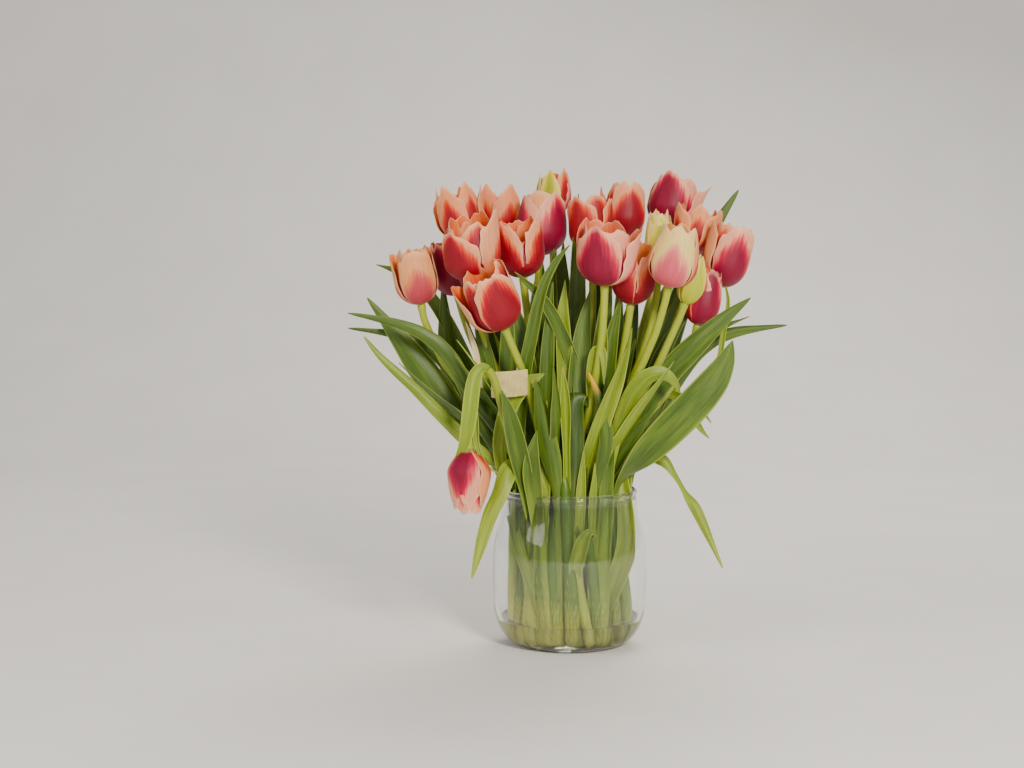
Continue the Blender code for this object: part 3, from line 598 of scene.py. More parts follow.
def buildWater(water):
    # the water runs a hair into the glass, and climbs it at its edge
    j = jarSettings
    side = [(r + j["overlap"], z) for r, z in innerWall if z < j["waterLevel"]]
    side[0] = (side[0][0], side[0][1] - j["overlap"])
    edgeRadius = np.interp(j["waterLevel"], innerHeights, innerRadii)
    outline = [(0.0, j["floor"] - j["overlap"]), *side,
               (edgeRadius + j["overlap"], j["waterLevel"] + j["meniscus"]),
               (edgeRadius - 0.6 * mm, j["waterLevel"] + 0.5 * mm),
               (edgeRadius - 2.2 * mm, j["waterLevel"]), (edgeRadius * 0.5, j["waterLevel"]),
               (0.0, j["waterLevel"])]
    finishPiece(spinOutline(outline), "waterBody", [water], ["water"])


stemSettings = {
    "shares": (0, 0.30, 0.6, 1.0), "radii": (4.8 * mm, 4.8 * mm, 4.4 * mm, 3.9 * mm), "thickest": 4.85 * mm,
    "uneven": 0.05, "seat": 4.8 * mm, "sides": 10, "step": 5 * mm, "intoFlower": 1.6 * mm,
}


def carry(points):
    # tangents, and side directions carried along without twisting
    tangents = directions(points)
    side = unit(np.cross(tangents[0], (0.0, 1.0, 0.0)))
    sides = []
    for t in tangents:
        side = unit(side - (side @ t) * t)
        sides.append(side)
    return tangents, np.array(sides)


def tubeMesh(points, radii):
    # a grid rolled round the line, sewn along its seam and closed at both ends
    last = len(points) - 1
    tangents, across = carry(points)
    bm = uvGrid("stem", stemSettings["sides"], last, distances(points) / (10 * mm))
    facts = []
    for vert in bm.verts:
        row = round((vert.co.y + 1) / 2 * last)
        turn = (vert.co.x + 1) * math.pi
        out = across[row] * math.cos(turn) + np.cross(tangents[row], across[row]) * math.sin(turn)
        vert.co = points[row] + out * radii[row]
        facts.append((row / last, 0.0, 0.0))
    setAttribute(bm, facts, "growth")
    bmesh.ops.remove_doubles(bm, verts=bm.verts, dist=1e-5)
    bmesh.ops.holes_fill(bm, edges=[e for e in bm.edges if e.is_boundary], sides=0)
    return bm


def buildStem(name, material):
    # the stem along its packed centre line, run a little way into the flower
    s = stemSettings
    line = smoothTrack(trace(name)[:, :3], 2)
    line = np.vstack([line, line[-1] + unit(line[-1] - line[-3]) * s["intoFlower"]])
    line = resample(line, max(8, int(distances(line)[-1] / s["step"])))
    thick = random.Random(name).uniform(0.94, 1.05)
    radii = np.interp(np.linspace(0, 1, len(line)), s["shares"], s["radii"])
    radii = np.minimum(radii * thick, s["thickest"])
    for k in range(len(radii)):
        radii[k] *= 1 + s["uneven"] * noise.noise(Vector((k * 0.35, len(name), ord(name[7]))))
    # cut foot: a tight first ring; swollen seat under the flower, closed by a small dome
    line = np.vstack([line[0], line[0] + (line[1] - line[0]) * 0.12, line[1:-1],
                      line[-1] - (line[-1] - line[-2]) * 0.45, line[-1]])
    radii = np.concatenate([[radii[0] * 0.94, radii[0]], radii[1:-1], [s["seat"], s["seat"] * 0.5]])
    radii[-3] = 0.5 * (radii[-4] + s["seat"])
    piece = finishPiece(tubeMesh(line, radii), name.replace("_stem", "_stalk"), [material], [name])
    addSubdivision(piece)
    return line


leafSettings = {
    "columns": 8, "step": 7 * mm, "thickness": 0.7 * mm,
    "sheathHalf": 7.5 * mm, "sheathCup": 0.45,  # the part inside the jar wraps the stems
    "jarTop": rimHeight + 20 * mm, "jarBlend": 50 * mm,
    "flatten": 0.22, "uneven": 0.07,
}

# how each packed leaf is finished: skin, share of it that is dry at the tip, fold, ripple of its edges
leafLooks = {
    "leaf_01": ("leaf", 0.0, 0.22, 1.0), "leaf_02": ("leaf", 0.0, 0.35, 0.8),
    "leaf_03": ("leaf", 0.0, 0.3, 0.8), "leaf_04": ("paleLeaf", 0.0, 0.5, 0.4),
    "leaf_05": ("leaf", 0.0, 0.3, 1.0), "leaf_06": ("paleLeaf", 0.0, 0.3, 0.6),
    "leaf_07": ("leaf", 0.02, 0.35, 0.6), "leaf_08": ("darkLeaf", 0.0, 0.45, 0.5),
    "leaf_09": ("leaf", 0.1, 0.4, 0.5), "leaf_10": ("leaf", 0.0, 0.4, 0.6),
    "leaf_11": ("leaf", 0.0, 0.3, 1.2), "leaf_12": ("leaf", 0.0, 0.45, 0.8),
    "leaf_13": ("leaf", 0.0, 0.16, 0.6), "leaf_14": ("paleLeaf", 0.0, 0.25, 0.5),
    "leaf_15": ("paleLeaf", 0.03, 0.4, 0.6),
}
leafWidths = {"leaf_10": 1.35, "leaf_12": 1.15}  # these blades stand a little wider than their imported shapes
longSheaths = ("leaf_07", "leaf_09", "leaf_11", "leaf_13")  # these feet reach down into the water


def bladeMesh(line, across, half, look, seed):
    # a grid laid along the line, troughed across, with wavering edges
    dry, fold, ripple = look
    s = leafSettings
    last = len(line) - 1
    tangents = directions(line)
    along = distances(line)
    bm = uvGrid("blade", s["columns"], last, along / (30 * mm))
    facts = []
    for vert in bm.verts:
        u = vert.co.x
        row = round((vert.co.y + 1) / 2 * last)
        share = row / last
        side = unit(across[row] - (across[row] @ tangents[row]) * tangents[row])
        out = np.cross(side, tangents[row])
        inJar = max(0.0, min(1.0, (s["jarTop"] - line[row][2]) / s["jarBlend"])) if share < 0.5 else 0.0
        depth = fold * (1 - inJar) + s["sheathCup"] * inJar
        trough = depth * half[row] * abs(u) ** 1.5
        spread = half[row] * u * (1 - s["flatten"] * depth * u * u)
        edge = Vector((along[row] * 28, seed + (u > 0) * 7.3, 1.7))
        wander = ripple * mm * abs(u) ** 2 * noise.noise(edge) * 1.6
        width = Vector((along[row] * 20, seed * 3 + (u > 0) * 5, 9.1))
        spread *= 1 + s["uneven"] * noise.noise(width)
        vert.co = line[row] + side * spread + out * (trough + wander)
        facts.append((share, dry, seed))
    setAttribute(bm, facts, "growth")
    return bm


def buildBlade(name, line, across, half, look, materials, nodes=()):
    seed = (sum(ord(c) * (k + 1) for k, c in enumerate(name)) % 97) / 9.7
    bm = bladeMesh(line, across, half, look[1:], seed)
    piece = finishPiece(bm, name, [materials[look[0]]], nodes)
    addThickness(piece, leafSettings["thickness"])
    addSubdivision(piece)


def turnedInward(line, across):
    # which way across has to run for the trough to open towards the middle of the bunch
    middle = len(line) // 4
    out = np.cross(across[middle], unit(line[middle + 1] - line[middle - 1]))
    radial = unit(line[middle] * (1, 1, 0))
    return across if out @ radial < 0.0 else -across


def longerSheath(name, line, across, half):
    # carries the foot of a leaf straight down beside the stems, some further than others
    low = random.Random(name).uniform(11, 30) * mm
    drop = line[0][2] - low
    steps = int(drop / leafSettings["step"])
    if steps < 1:
        return line, across, half
    down = np.array([line[0] * (1, 1, 0) + (0, 0, low + drop * k / steps) for k in range(steps)])
    down[:, :2] *= 1 - 0.10 * (1 - (down[:, 2:3] - low) / drop)
    return (np.vstack([down, line]), np.vstack([np.repeat(across[:1], steps, axis=0), across]),
            np.concatenate([np.full(steps, half[0]), half]))


def foldedTop(rows):
    # the broad tip of this leaf is folded over backwards
    low = rows[rows[:, 2] < rimHeight + 98 * mm]
    last = low[-1].copy()
    # how far each bend stands off the last spot, in x, y and z, and its half width
    bends = [(2, 1.5, 7, 12.5), (6, 6, 9.5, 11), (10, 11, 6, 8), (13, 13, -3, 4), (15, 14, -12, 0.5)]
    over = [np.concatenate([last[:3] + np.array(b[:3]) * mm, last[3:6], [b[3] * mm]]) for b in bends]
    return np.vstack([low, over])


def packedLeaf(name, materials):
    rows = trace(name)
    if name == "leaf_08":
        rows = foldedTop(rows)
    rows[:, 6] *= leafWidths.get(name, 1.0)
    line = smoothTrack(rows[:, :3], 3)
    table = np.hstack([line, smoothTrack(rows[:, 3:6], 4), smoothTrack(rows[:, 6:], 2)])
    table = resample(table, int(distances(line)[-1] / leafSettings["step"]))
    line, across, half = table[:, :3], turnedInward(table[:, :3], table[:, 3:6]), table[:, 6]
    if name in longSheaths:
        line, across, half = longerSheath(name, line, across, half)
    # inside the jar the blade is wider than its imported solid
    share = np.linspace(0, 1, len(line))
    sheath = np.clip((rimHeight + 12 * mm - line[:, 2]) / (40 * mm), 0, 1) * (share < 0.5)
    broad = leafSettings["sheathHalf"] * random.Random(name + "wide").uniform(0.55, 1.1)
    half = np.maximum(half, broad * sheath * np.clip(share / 0.06 + 0.3, 0, 1))
    half[-1] = min(half[-1], 0.5 * mm)
    half[0] *= 0.8
    buildBlade(name.replace("leaf", "blade"), line, across, half, leafLooks[name], materials, [name])


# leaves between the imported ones: spots (x, y, height above the floor and width, in mm), skin, fold, ripple
# the rear ones face backwards, and are hidden from the front
looseLeaves = {
    "backCentre": ("8 20 90 12, 6 22 150 18, 6 20 200 22, 6 16 261 24, 7 8 344 20, 8 2 405 13, "
                   "8 0 452 0", "leaf", 0.4, 0.8),
    "midCentre": ("6 -38 90 14, 7 -38 153 20, 7 -36 210 24, 8 -32 270 24, 12 -30 318 17, "
                  "19 -28 359 0", "leaf", 0.3, 0.8),
    "farLeft": ("-52 28 150 14, -86 30 240 16, -119 30 314 16, -146 28 355 13, -171 24 373 9, "
                "-195 20 381 0", "leaf", 0.4, 0.6),
    "thinRight": ("88 14 200 6, 128 12 245 7, 147 10 273 7, 154 6 316 6, 158 4 346 4, "
                  "151 2 373 0", "paleLeaf", 0.5, 0.3),
    "lowRight": ("66 22 180 12, 100 20 264 15, 122 20 295 13, 147 18 315 9, "
                 "181 14 329 0", "leaf", 0.4, 0.6),
    "droopRight": ("52 32 170 10, 68 30 223 11, 82 26 244 11, 100 20 252 11, 119 14 238 10, 131 10 217 7, "
                   "141 8 206 0", "paleLeaf", 0.45, 0.5),
    "foldedTip": ("20 -24 140 10, 21 -30 179 13, 23 -40 230 14, 20 -46 268 13, 22 -52 295 12, "
                  "27 -57 304 11, 31 -60 294 8, 31 -61 266 0", "paleLeaf", 0.3, 0.4),
    "crossLeft": ("22 -14 150 12, 19 -20 208 14, 7 -26 268 15, -11 -36 318 14, -31 -44 352 11, "
                  "-56 -52 376 0", "leaf", 0.35, 0.8),
    "crossRight": ("-52 -34 180 12, -50 -40 250 15, -40 -50 309 14, -29 -56 358 11, -16 -58 385 7, "
                   "-2 -58 402 0", "leaf", 0.35, 0.6),
    "splitPale": ("-3 -46 130 8, -4 -50 165 8, -5 -55 205 9, -6 -58 238 13, -7 -59 262 9, "
                  "-9 -60 284 0", "paleLeaf", 0.9, 0.3),
    "besideTape": ("-66 -46 170 12, -70 -50 211 15, -58 -56 251 18, -42 -58 269 15, "
                   "-26 -58 277 0", "paleLeaf", 0.2, 0.4),
    "strawSliver": ("-88 -50 262 4, -90 -54 280 5, -93 -57 298 6, -98 -58 314 4, "
                    "-103 -58 328 0", "dryLeaf", 0.5, 0.2),
    "rimTipLeft": ("8 -50 110 8, 9 -54 148 11, 10 -56 173 9, 12 -57 203 0", "paleLeaf", 0.5, 0.2),
    "rimTipRight": ("20 -50 115 7, 20 -54 148 8, 22 -55 168 6, 23 -56 190 0", "paleLeaf", 0.5, 0.2),
    "claspLeft": ("-80 -99 284 7, -88 -104 288 12, -94 -106 275 15, -97 -107 254 16, -100 -106 230 15, "
                  "-106 -104 206 10, -120 -99 183 0", "paleLeaf", 0.4, 0.2),
    "claspRight": ("-94 -99 252 6, -93 -101 232 8, -91 -104 211 5, -83 -104 193 4, "
                   "-71 -101 185 0", "paleLeaf", 0.6, 0.2),
    "overHangingStem": ("-38 -50 130 12, -44 -58 165 16, -50 -74 195 21, -57 -85 225 19, -62 -90 246 12, "
                        "-68 -92 264 0", "leaf", 0.3, 0.6),
    "overDroopingLeaf": ("-30 -53 110 13, -36 -58 157 18, -39 -70 184 19, -38 -76 204 13, "
                         "-34 -78 224 0", "leaf", 0.3, 0.5),
    "leaningStalk": ("-58 -14 132 9, -50 -30 100 12, -38 -42 66 12, -30 -44 38 11, "
                     "-26 -42 18 8", "paleLeaf", 0.6, 0.3),
    "curledSheath": ("6 -48 60 5, 4 -56 82 14, 8 -60 104 18, 14 -59 120 12, 20 -56 124 6, "
                     "24 -53 114 0", "paleLeaf", 0.8, 0.6),
    "rightBulge": ("34 -30 40 14, 44 -36 70 20, 54 -34 105 22, 54 -28 140 19, 50 -22 175 14, "
                   "52 -18 220 0", "paleLeaf", 0.4, 0.6),
    "fillA": ("-34 12 90 14, -36 14 160 20, -34 18 230 26, -32 22 300 26, -30 24 350 18, "
              "-28 26 392 0", "darkLeaf", 0.25, 1.0),
    "fillB": ("-12 16 90 14, -12 20 160 20, -10 24 230 26, -8 28 300 26, -8 30 355 20, "
              "-6 30 405 0", "leaf", 0.25, 1.0),
    "fillC": ("16 14 90 14, 18 18 160 20, 22 22 230 26, 26 26 300 26, 28 28 350 18, "
              "32 28 396 0", "darkLeaf", 0.25, 1.0),
    "fillD": ("36 8 90 14, 42 10 160 20, 50 14 230 24, 56 18 290 24, 62 20 330 16, "
              "68 20 366 0", "darkLeaf", 0.25, 1.0),
    "fillE": ("-48 4 90 14, -56 6 160 20, -62 8 230 24, -70 10 290 22, -76 10 330 16, "
              "-84 10 366 0", "darkLeaf", 0.25, 1.0),
    "fillF": ("4 -20 90 14, 2 -22 160 18, -2 -26 230 20, -6 -30 290 18, -8 -34 330 14, "
              "-6 -36 368 0", "paleLeaf", 0.4, 0.6),
    "fillG": ("26 -18 90 14, 28 -22 160 18, 32 -26 225 20, 36 -28 280 18, 42 -30 320 12, "
              "50 -32 352 0", "leaf", 0.4, 0.6),
    "fillH": ("-30 -20 90 14, -34 -24 160 18, -38 -28 205 20, -40 -30 235 16, -41 -32 252 10, "
              "-42 -33 268 0", "leaf", 0.4, 0.6),
    "fillI": ("-22 -2 90 14, -24 0 160 18, -24 2 230 22, -22 4 300 22, -20 6 352 16, "
              "-16 8 398 0", "leaf", 0.35, 0.8),
    "fillJ": ("46 22 90 14, 56 28 160 20, 68 32 230 24, 80 36 290 22, 88 38 330 14, "
              "98 38 362 0", "leaf", 0.35, 0.8),
    "fillK": ("-20 -10 100 14, -28 -14 170 18, -36 -20 240 20, -46 -26 300 18, -58 -30 342 12, "
              "-72 -32 372 0", "leaf", 0.35, 0.8),
    "fillL": ("6 -6 100 14, 12 -8 170 18, 20 -10 240 20, 30 -12 300 18, 36 -12 350 12, "
              "38 -12 392 0", "leaf", 0.35, 0.8),
    "fillM": ("40 -4 100 14, 54 -6 170 18, 72 -10 235 20, 88 -12 285 18, 104 -14 318 12, "
              "122 -14 340 0", "darkLeaf", 0.35, 0.8),
    "upRight": ("50 -8 160 12, 62 0 206 16, 70 0 246 18, 82 -4 286 17, 97 -6 326 12, "
                "113 -8 358 0", "leaf", 0.3, 0.8),
    "midUp": ("32 -6 160 12, 36 -10 217 15, 42 -10 267 16, 47 -14 317 12, 51 -16 356 0", "leaf", 0.35, 0.8),
    "midUpLeft": ("-18 -24 150 12, -25 -30 219 15, -24 -34 269 16, -22 -36 318 12, "
                  "-18 -36 366 0", "leaf", 0.35, 0.8),
    "leftUp": ("-52 -22 160 12, -70 -26 209 16, -78 -32 259 18, -85 -36 299 15, "
               "-99 -36 350 0", "leaf", 0.3, 0.8),
    "leftBehindTape": ("-46 -24 165 14, -58 -28 215 20, -62 -30 270 20, -62 -32 320 14, "
                       "-56 -32 362 0", "leaf", 0.3, 0.8),
    "rearLeft": ("-34 40 100 14, -48 56 160 22, -66 74 230 26, -84 88 300 22, "
                 "-104 96 362 0", "leaf", 0.25, 1.0),
    "rearMiddle": ("0 48 100 14, -4 58 160 24, -14 74 230 28, -22 86 300 22, "
                   "-24 94 370 0", "leaf", 0.22, 1.0),
    "rearRight": ("30 42 100 14, 44 58 160 22, 56 74 225 26, 72 88 290 20, 96 98 345 0", "leaf", 0.25, 1.0),
    "rearBend": ("44 34 110 12, 62 50 170 18, 84 66 215 20, 106 80 238 16, 132 92 236 10, "
                 "152 98 212 0", "paleLeaf", 0.3, 0.8),
    "rearLow": ("-44 30 110 12, -66 46 165 18, -92 60 205 20, -120 74 232 15, "
                "-152 84 240 0", "leaf", 0.3, 0.8),
    "sheathA": ("-30 -40 44 11, -30 -44 90 14, -28 -46 150 15, -26 -44 205 13, "
                "-24 -42 250 0", "paleLeaf", 0.4, 0.4),
    "sheathB": ("30 -36 44 12, 32 -42 90 15, 34 -44 150 15, 38 -44 210 12, 44 -42 262 0", "leaf", 0.4, 0.4),
    "sheathC": ("-46 -16 50 11, -48 -20 100 13, -48 -24 155 14, -52 -26 215 12, "
                "-56 -26 270 0", "leaf", 0.4, 0.4),
    "sheathD": ("46 -12 46 13, 52 -18 95 17, 52 -20 150 18, 58 -20 205 14, "
                "66 -18 262 0", "paleLeaf", 0.4, 0.4),
}
dryTips = {"splitPale": 0.04}


def looseLeaf(name, materials):
    spots, skin, fold, ripple = looseLeaves[name]
    table = np.array(spots.replace(",", " ").split(), float).reshape(-1, 4) * mm
    table = spline(table, int(distances(table[:, :3])[-1] / leafSettings["step"]))
    line = table[:, :3]
    half = np.clip(table[:, 3] / 2, 0.4 * mm, None)
    face = (0, 1, 0) if name.startswith("rear") else (0, -1, 0)
    across = np.array([unit(np.cross(t, face)) for t in directions(line)])
    buildBlade("blade_" + name, line, across, half, (skin, dryTips.get(name, 0), fold, ripple), materials)


# the rolled feet of leaves, thick and pale, which crowd the jar: one round each stem and more between them
rolledSettings = {
    "radius": (6.2 * mm, 7.6 * mm), "tall": (52 * mm, 150 * mm), "keepIn": 0.5 * mm, "uneven": 0.08,
    "shares": (0, 0.04, 0.2, 0.7, 0.93, 1.0), "thickness": (0.80, 0.97, 1.05, 0.92, 0.72, 0.3),
    "spots": 26, "footHeight": 9.5, "sway": 3, "fewest": 6,
}
rolledAlone = {
    # foot x, foot y, top x, top y, top height and radius, in mm
    "A": (-50, -18, -38, -24, 150, 6.0), "B": (-34, -40, -50, -22, 116, 7.5),
    "C": (-22, -48, -26, -44, 166, 5.5), "D": (-1, -52, -4, -50, 178, 7.8),
    "E": (16, -50, 4, -52, 122, 5.5), "F": (30, -43, 36, -38, 165, 8.2),
    "G": (45, -28, 38, -32, 172, 5.5), "H": (54, -6, 46, -14, 140, 8.0), "I": (-56, 4, -46, 0, 135, 8.0),
    "J": (50, 14, 44, 12, 130, 7.0), "K": (-46, -30, -30, -38, 104, 5.5), "L": (6, -44, 24, -44, 92, 5.0),
    "M": (-12, -47, -16, -44, 140, 8.2), "N": (-59, -12, -50, -12, 168, 5.5),
    "O": (57, -20, 46, -26, 146, 5.5), "P": (24, -46, 14, -46, 152, 6.5),
    "Q": (-60, 14, -50, 8, 158, 6.5), "R": (60, 4, 50, -2, 160, 5.5), "S": (-30, -46, -36, -34, 150, 6.5),
    "T": (-6, -36, -8, -38, 150, 7.0), "U": (10, -38, 8, -40, 140, 7.0),
}


def rolledFoot(name, line, radius, material):
    r = rolledSettings
    radii = radius * np.interp(np.linspace(0, 1, len(line)), r["shares"], r["thickness"])
    for k in range(len(line)):
        radii[k] *= 1 + r["uneven"] * noise.noise(Vector((k * 0.3, radius * 900, 3.1)))
    # kept off the inner wall of the jar
    room = np.interp(line[:, 2], innerHeights, innerRadii)
    line = smoothTrack(heldIn(line, room - radii - r["keepIn"]), 2)
    addSubdivision(finishPiece(tubeMesh(line, radii), name, [material]))


def rollFeet(stems, skins):
    r = rolledSettings
    share = np.linspace(0, 1, r["spots"])[:, None]
    for name, (x, y, topX, topY, height, radius) in rolledAlone.items():
        line = np.array([x, y, r["footHeight"]]) * (1 - share) + np.array([topX, topY, height]) * share
        line[:, 0] += r["sway"] * np.sin(share[:, 0] * 3 + radius * 5)
        rolledFoot("rolledFoot" + name, line * mm, radius * mm, skins[ord(name) % 3])
    for tulip, line in stems.items():
        rng = random.Random(tulip + "foot")
        line = line[line[:, 2] < rng.uniform(*r["tall"])]
        if len(line) >= r["fewest"]:
            rolledFoot(tulip + "_foot", line, rng.uniform(*r["radius"]), skins[int(tulip[6:]) % 3])


# leaves that clasp a standing stem low down and part from it higher up: three for each stem
stemLeafSettings = {
    "start": (0.02, 0.16), "length": (0.19, 0.31), "half": (9 * mm, 13 * mm), "sheath": 7.2 * mm,
    "part": (0.10, 0.26), "highest": 0.375, "hugs": 2.6 * mm, "loosens": 3 * mm, "keepIn": 57 * mm,
    "partsBelowRim": 30 * mm, "spreads": 1.9, "sags": 0.5, "pastStem": 0.8,
    "fold": (0.25, 0.45), "ripple": 0.9, "skins": ("leaf", "leaf", "paleLeaf", "darkLeaf"),
    "leftOut": ("tulip_09_leaf_2",),  # it would stand in front of the tape
}


def stemLeaf(name, line, turn, rng, materials):
    s = stemLeafSettings
    along = distances(line)
    start = rng.uniform(*s["start"]) * along[-1]
    length = rng.uniform(*s["length"])
    part = rng.uniform(*s["part"])
    out = np.array([math.cos(turn), math.sin(turn), 0.0])
    up = np.array([0, 0, 1.0])
    count = int(length / leafSettings["step"])
    rows = []
    for k in range(count):
        d = k / (count - 1)
        place = start + d * length
        base = np.array([np.interp(place, along, line[:, c]) for c in range(3)])
        base += up * max(0.0, place - along[-1]) * s["pastStem"]
        free = max(0.0, base[2] - rimHeight + s["partsBelowRim"])
        away = s["hugs"] + s["loosens"] * min(1, d * 3) + part * free ** 1.25 * s["spreads"]
        rows.append(base + out * away - up * part * s["sags"] * free ** 1.6)
    rows = smoothTrack(np.array(rows), 4)
    # kept inside the glass
    inside = rows[:, 2] < rimHeight + 4 * mm
    rows[inside] = heldIn(rows[inside], s["keepIn"])
    rows = smoothTrack(rows, 3)
    foot, top = rows[0, 2], rows[:, 2].max()
    if top > s["highest"]:
        rows[:, 2] = foot + (rows[:, 2] - foot) * (s["highest"] - foot) / (top - foot)
    widest = rng.uniform(*s["half"])
    half = np.interp(np.linspace(0, 1, count), [0, 0.06, 0.35, 0.6, 0.82, 1.0],
                     [0.55 * s["sheath"], s["sheath"], 0.9 * widest, widest, 0.62 * widest, 0.4 * mm])
    across = np.array([unit(np.cross(t, out)) for t in directions(rows)])
    look = (rng.choice(s["skins"]), 0, rng.uniform(*s["fold"]), s["ripple"])
    buildBlade(name, rows, turnedInward(rows, across), half, look, materials)


def clotheStems(stems, materials):
    made = 0
    for tulip, line in stems.items():
        if tulip == "tulip_21":
            continue
        rng = random.Random(tulip + "leaves")
        outward = math.atan2(line[-1][1], line[-1][0])
        for k in range(3):
            turn = outward + (k - 1) * rng.uniform(1.2, 2.6) + rng.uniform(-0.3, 0.3)
            name = f"{tulip}_leaf_{k + 1}"
            if name not in stemLeafSettings["leftOut"]:
                stemLeaf(name, line, turn, rng, materials)
                made += 1
    return made


bloomDefaults = {
    "turn": 20,  # degrees round the axis from the viewer to the first outer petal
    "top": 0.80, "flare": 0.0, "lean": 0, "innerTop": 0.74, "innerLean": -1,
    "drop": 0.17, "power": 2.2, "fringe": 0.06, "wide": 1.0, "bowl": 0.42, "bowlHeight": 0.34,
    "taper": 0.25, "wave": 1.3, "tall": 1.0, "curl": 0.95, "skin": "flamed", "flame": (0.80, 0.80),
    "thickness": 0.55 * mm, "columns": 20, "rows": 16, "petals": {},
}
blooms = {
    "tulip_01": {"turn": 12, "top": 0.86, "skin": "blush", "flame": (0.62, 0.85), "drop": 0.14,
                 "petals": {2: {"lean": 2, "flare": 0.1}}},
    "tulip_02": {"turn": -20, "top": 0.98, "skin": "salmon", "flame": (0.66, 0.8), "power": 1.3,
                 "drop": 0.32, "lean": 3, "wide": 0.8,
                 "petals": {2: {"lean": 7, "power": 1.1}}},
    "tulip_03": {"turn": -40, "top": 0.94, "flame": (0.8, 1.0), "power": 1.5, "drop": 0.24, "lean": 2,
                 "wide": 1.08,
                 "petals": {0: {"tall": 0.8, "lean": 3, "flame": (0.9, 1.0)},
                            1: {"tall": 1.04, "flame": (0.55, 0.5), "power": 2.6},
                            2: {"tall": 0.95, "flame": (0.5, 0.5)},
                            3: {"tall": 0.9, "lean": 3, "flame": (0.85, 0.8)}, 5: {"tall": 0.98}}},
    "tulip_04": {"turn": -35, "top": 0.78, "skin": "rose", "flame": (1.0, 1.0)},
    "tulip_05": {"turn": 30, "top": 0.98, "skin": "salmon", "flame": (0.58, 0.66), "power": 1.4,
                 "drop": 0.32, "lean": 3, "wide": 0.8,
                 "petals": {0: {"lean": 6}}},
    "tulip_06": {"turn": -52, "top": 0.92, "flame": (0.8, 0.95), "power": 2.0, "drop": 0.2, "lean": 2,
                 "petals": {3: {"tall": 0.66, "flame": (1.0, 0.9)}}},
    "tulip_07": {"turn": 46, "top": 0.78, "flame": (0.86, 0.85), "drop": 0.2, "skin": "rose",
                 "petals": {2: {"tall": 0.96}, 5: {"tall": 1.05, "flame": (0.6, 0.6), "skin": "blush"}}},
    "tulip_08": {"turn": -14, "top": 0.74, "skin": "rose", "flame": (0.8, 0.7), "power": 1.8, "drop": 0.26,
                 "petals": {0: {"skin": "greenStreaked", "wide": 0.62, "power": 1.3, "drop": 0.42,
                                "fringe": 0.1, "flame": (0.9, 0.5)},
                            1: {"lean": 1}, 2: {"skin": "greenBud", "tall": 0.95, "wide": 0.4},
                            3: {"skin": "salmon", "wide": 0.7, "lean": 3, "power": 1.3},
                            5: {"skin": "greenStreaked", "wide": 0.55, "power": 1.2, "drop": 0.4,
                                "fringe": 0.09}}},
    "tulip_09": {"turn": 14, "top": 0.92, "flame": (0.88, 1.05), "power": 2.0, "drop": 0.22, "lean": 3,
                 "taper": 0.1,
                 "petals": {1: {"lean": 1, "tall": 1.04, "flame": (0.7, 0.7)},
                            2: {"lean": 6, "flare": 0.06, "flame": (0.6, 0.6), "tall": 0.94},
                            5: {"lean": 5, "tall": 0.95}}},
    "tulip_10": {"turn": -30, "top": 0.9, "flame": (0.95, 1.0), "skin": "salmon", "lean": 3},
    "tulip_11": {"turn": -26, "top": 0.96, "flame": (0.92, 0.85), "power": 1.7, "drop": 0.22, "lean": 2,
                 "fringe": 0.055, "skin": "rose",
                 "petals": {1: {"lean": 8, "flare": 0.1, "fringe": 0.07, "flame": (0.6, 0.45)},
                            3: {"lean": 4, "tall": 0.93, "flame": (0.6, 0.55)}}},
    "tulip_12": {"turn": 14, "top": 0.9, "flame": (0.78, 1.0), "power": 3.0, "drop": 0.12,
                 "petals": {2: {"lean": 5, "wide": 0.78, "tall": 1.04, "power": 1.3, "drop": 0.3,
                                "flame": (0.4, 0.4)}}},
    "tulip_13": {"turn": -26, "top": 0.86, "skin": "rose", "flame": (0.95, 1.1), "power": 1.4,
                 "drop": 0.26,
                 "petals": {1: {"lean": 10, "flare": 0.22, "flame": (0.6, 0.6), "power": 2.2},
                            3: {"lean": 5, "tall": 0.98, "flame": (0.6, 0.6)}}},
    "tulip_14": {"turn": -54, "top": 0.88, "flame": (0.86, 0.95), "power": 2.0, "drop": 0.2, "wide": 1.02,
                 "petals": {3: {"tall": 0.7}, 4: {"tall": 1.02, "skin": "blush"}}},
    "tulip_15": {"turn": -10, "top": 0.6, "skin": "egg", "flame": (0.66, 0.85), "power": 1.8,
                 "drop": 0.22, "wave": 0.5, "taper": 0.05, "fringe": 0.07,
                 "petals": {1: {"skin": "salmon", "flame": (0.7, 0.9)}, 3: {"tall": 1.03}}},
    "tulip_16": {"turn": 10, "top": 0.62, "skin": "greenStreaked", "flame": (0.8, 0.7), "power": 1.8,
                 "drop": 0.22, "wide": 1.05, "fringe": 0.09,
                 "petals": {1: {"tall": 0.98, "lean": 3}, 3: {"skin": "egg"}}},
    "tulip_17": {"turn": 16, "top": 0.16, "innerTop": 0.12, "skin": "greenBud", "power": 1.2,
                 "drop": 0.42, "fringe": 0.0, "wave": 0.3, "curl": 0.98, "flame": (0.9, 0.8)},
    "tulip_18": {"top": 0.58, "skin": "rose", "flame": (1.05, 0.8), "power": 1.6, "drop": 0.3,
                 "petals": {2: {"skin": "salmon"}}},
    "tulip_19": {"turn": 60, "top": 0.96, "skin": "salmon", "flame": (0.65, 0.8), "power": 1.5,
                 "drop": 0.3, "lean": 6, "wide": 0.82},
    "tulip_20": {"turn": 22, "top": 0.9, "flame": (0.8, 0.9), "power": 2.6, "lean": 1, "skin": "rose",
                 "petals": {2: {"lean": 2, "skin": "salmon", "flame": (0.6, 0.6)}, 5: {"skin": "salmon"}}},
    "tulip_21": {"turn": 26, "top": 0.58, "flame": (0.72, 0.62), "power": 1.7, "drop": 0.28,
                 "skin": "rose", "taper": 0.45, "lean": -1,
                 "petals": {2: {"flame": (0.5, 0.5), "skin": "salmon"}}},
}


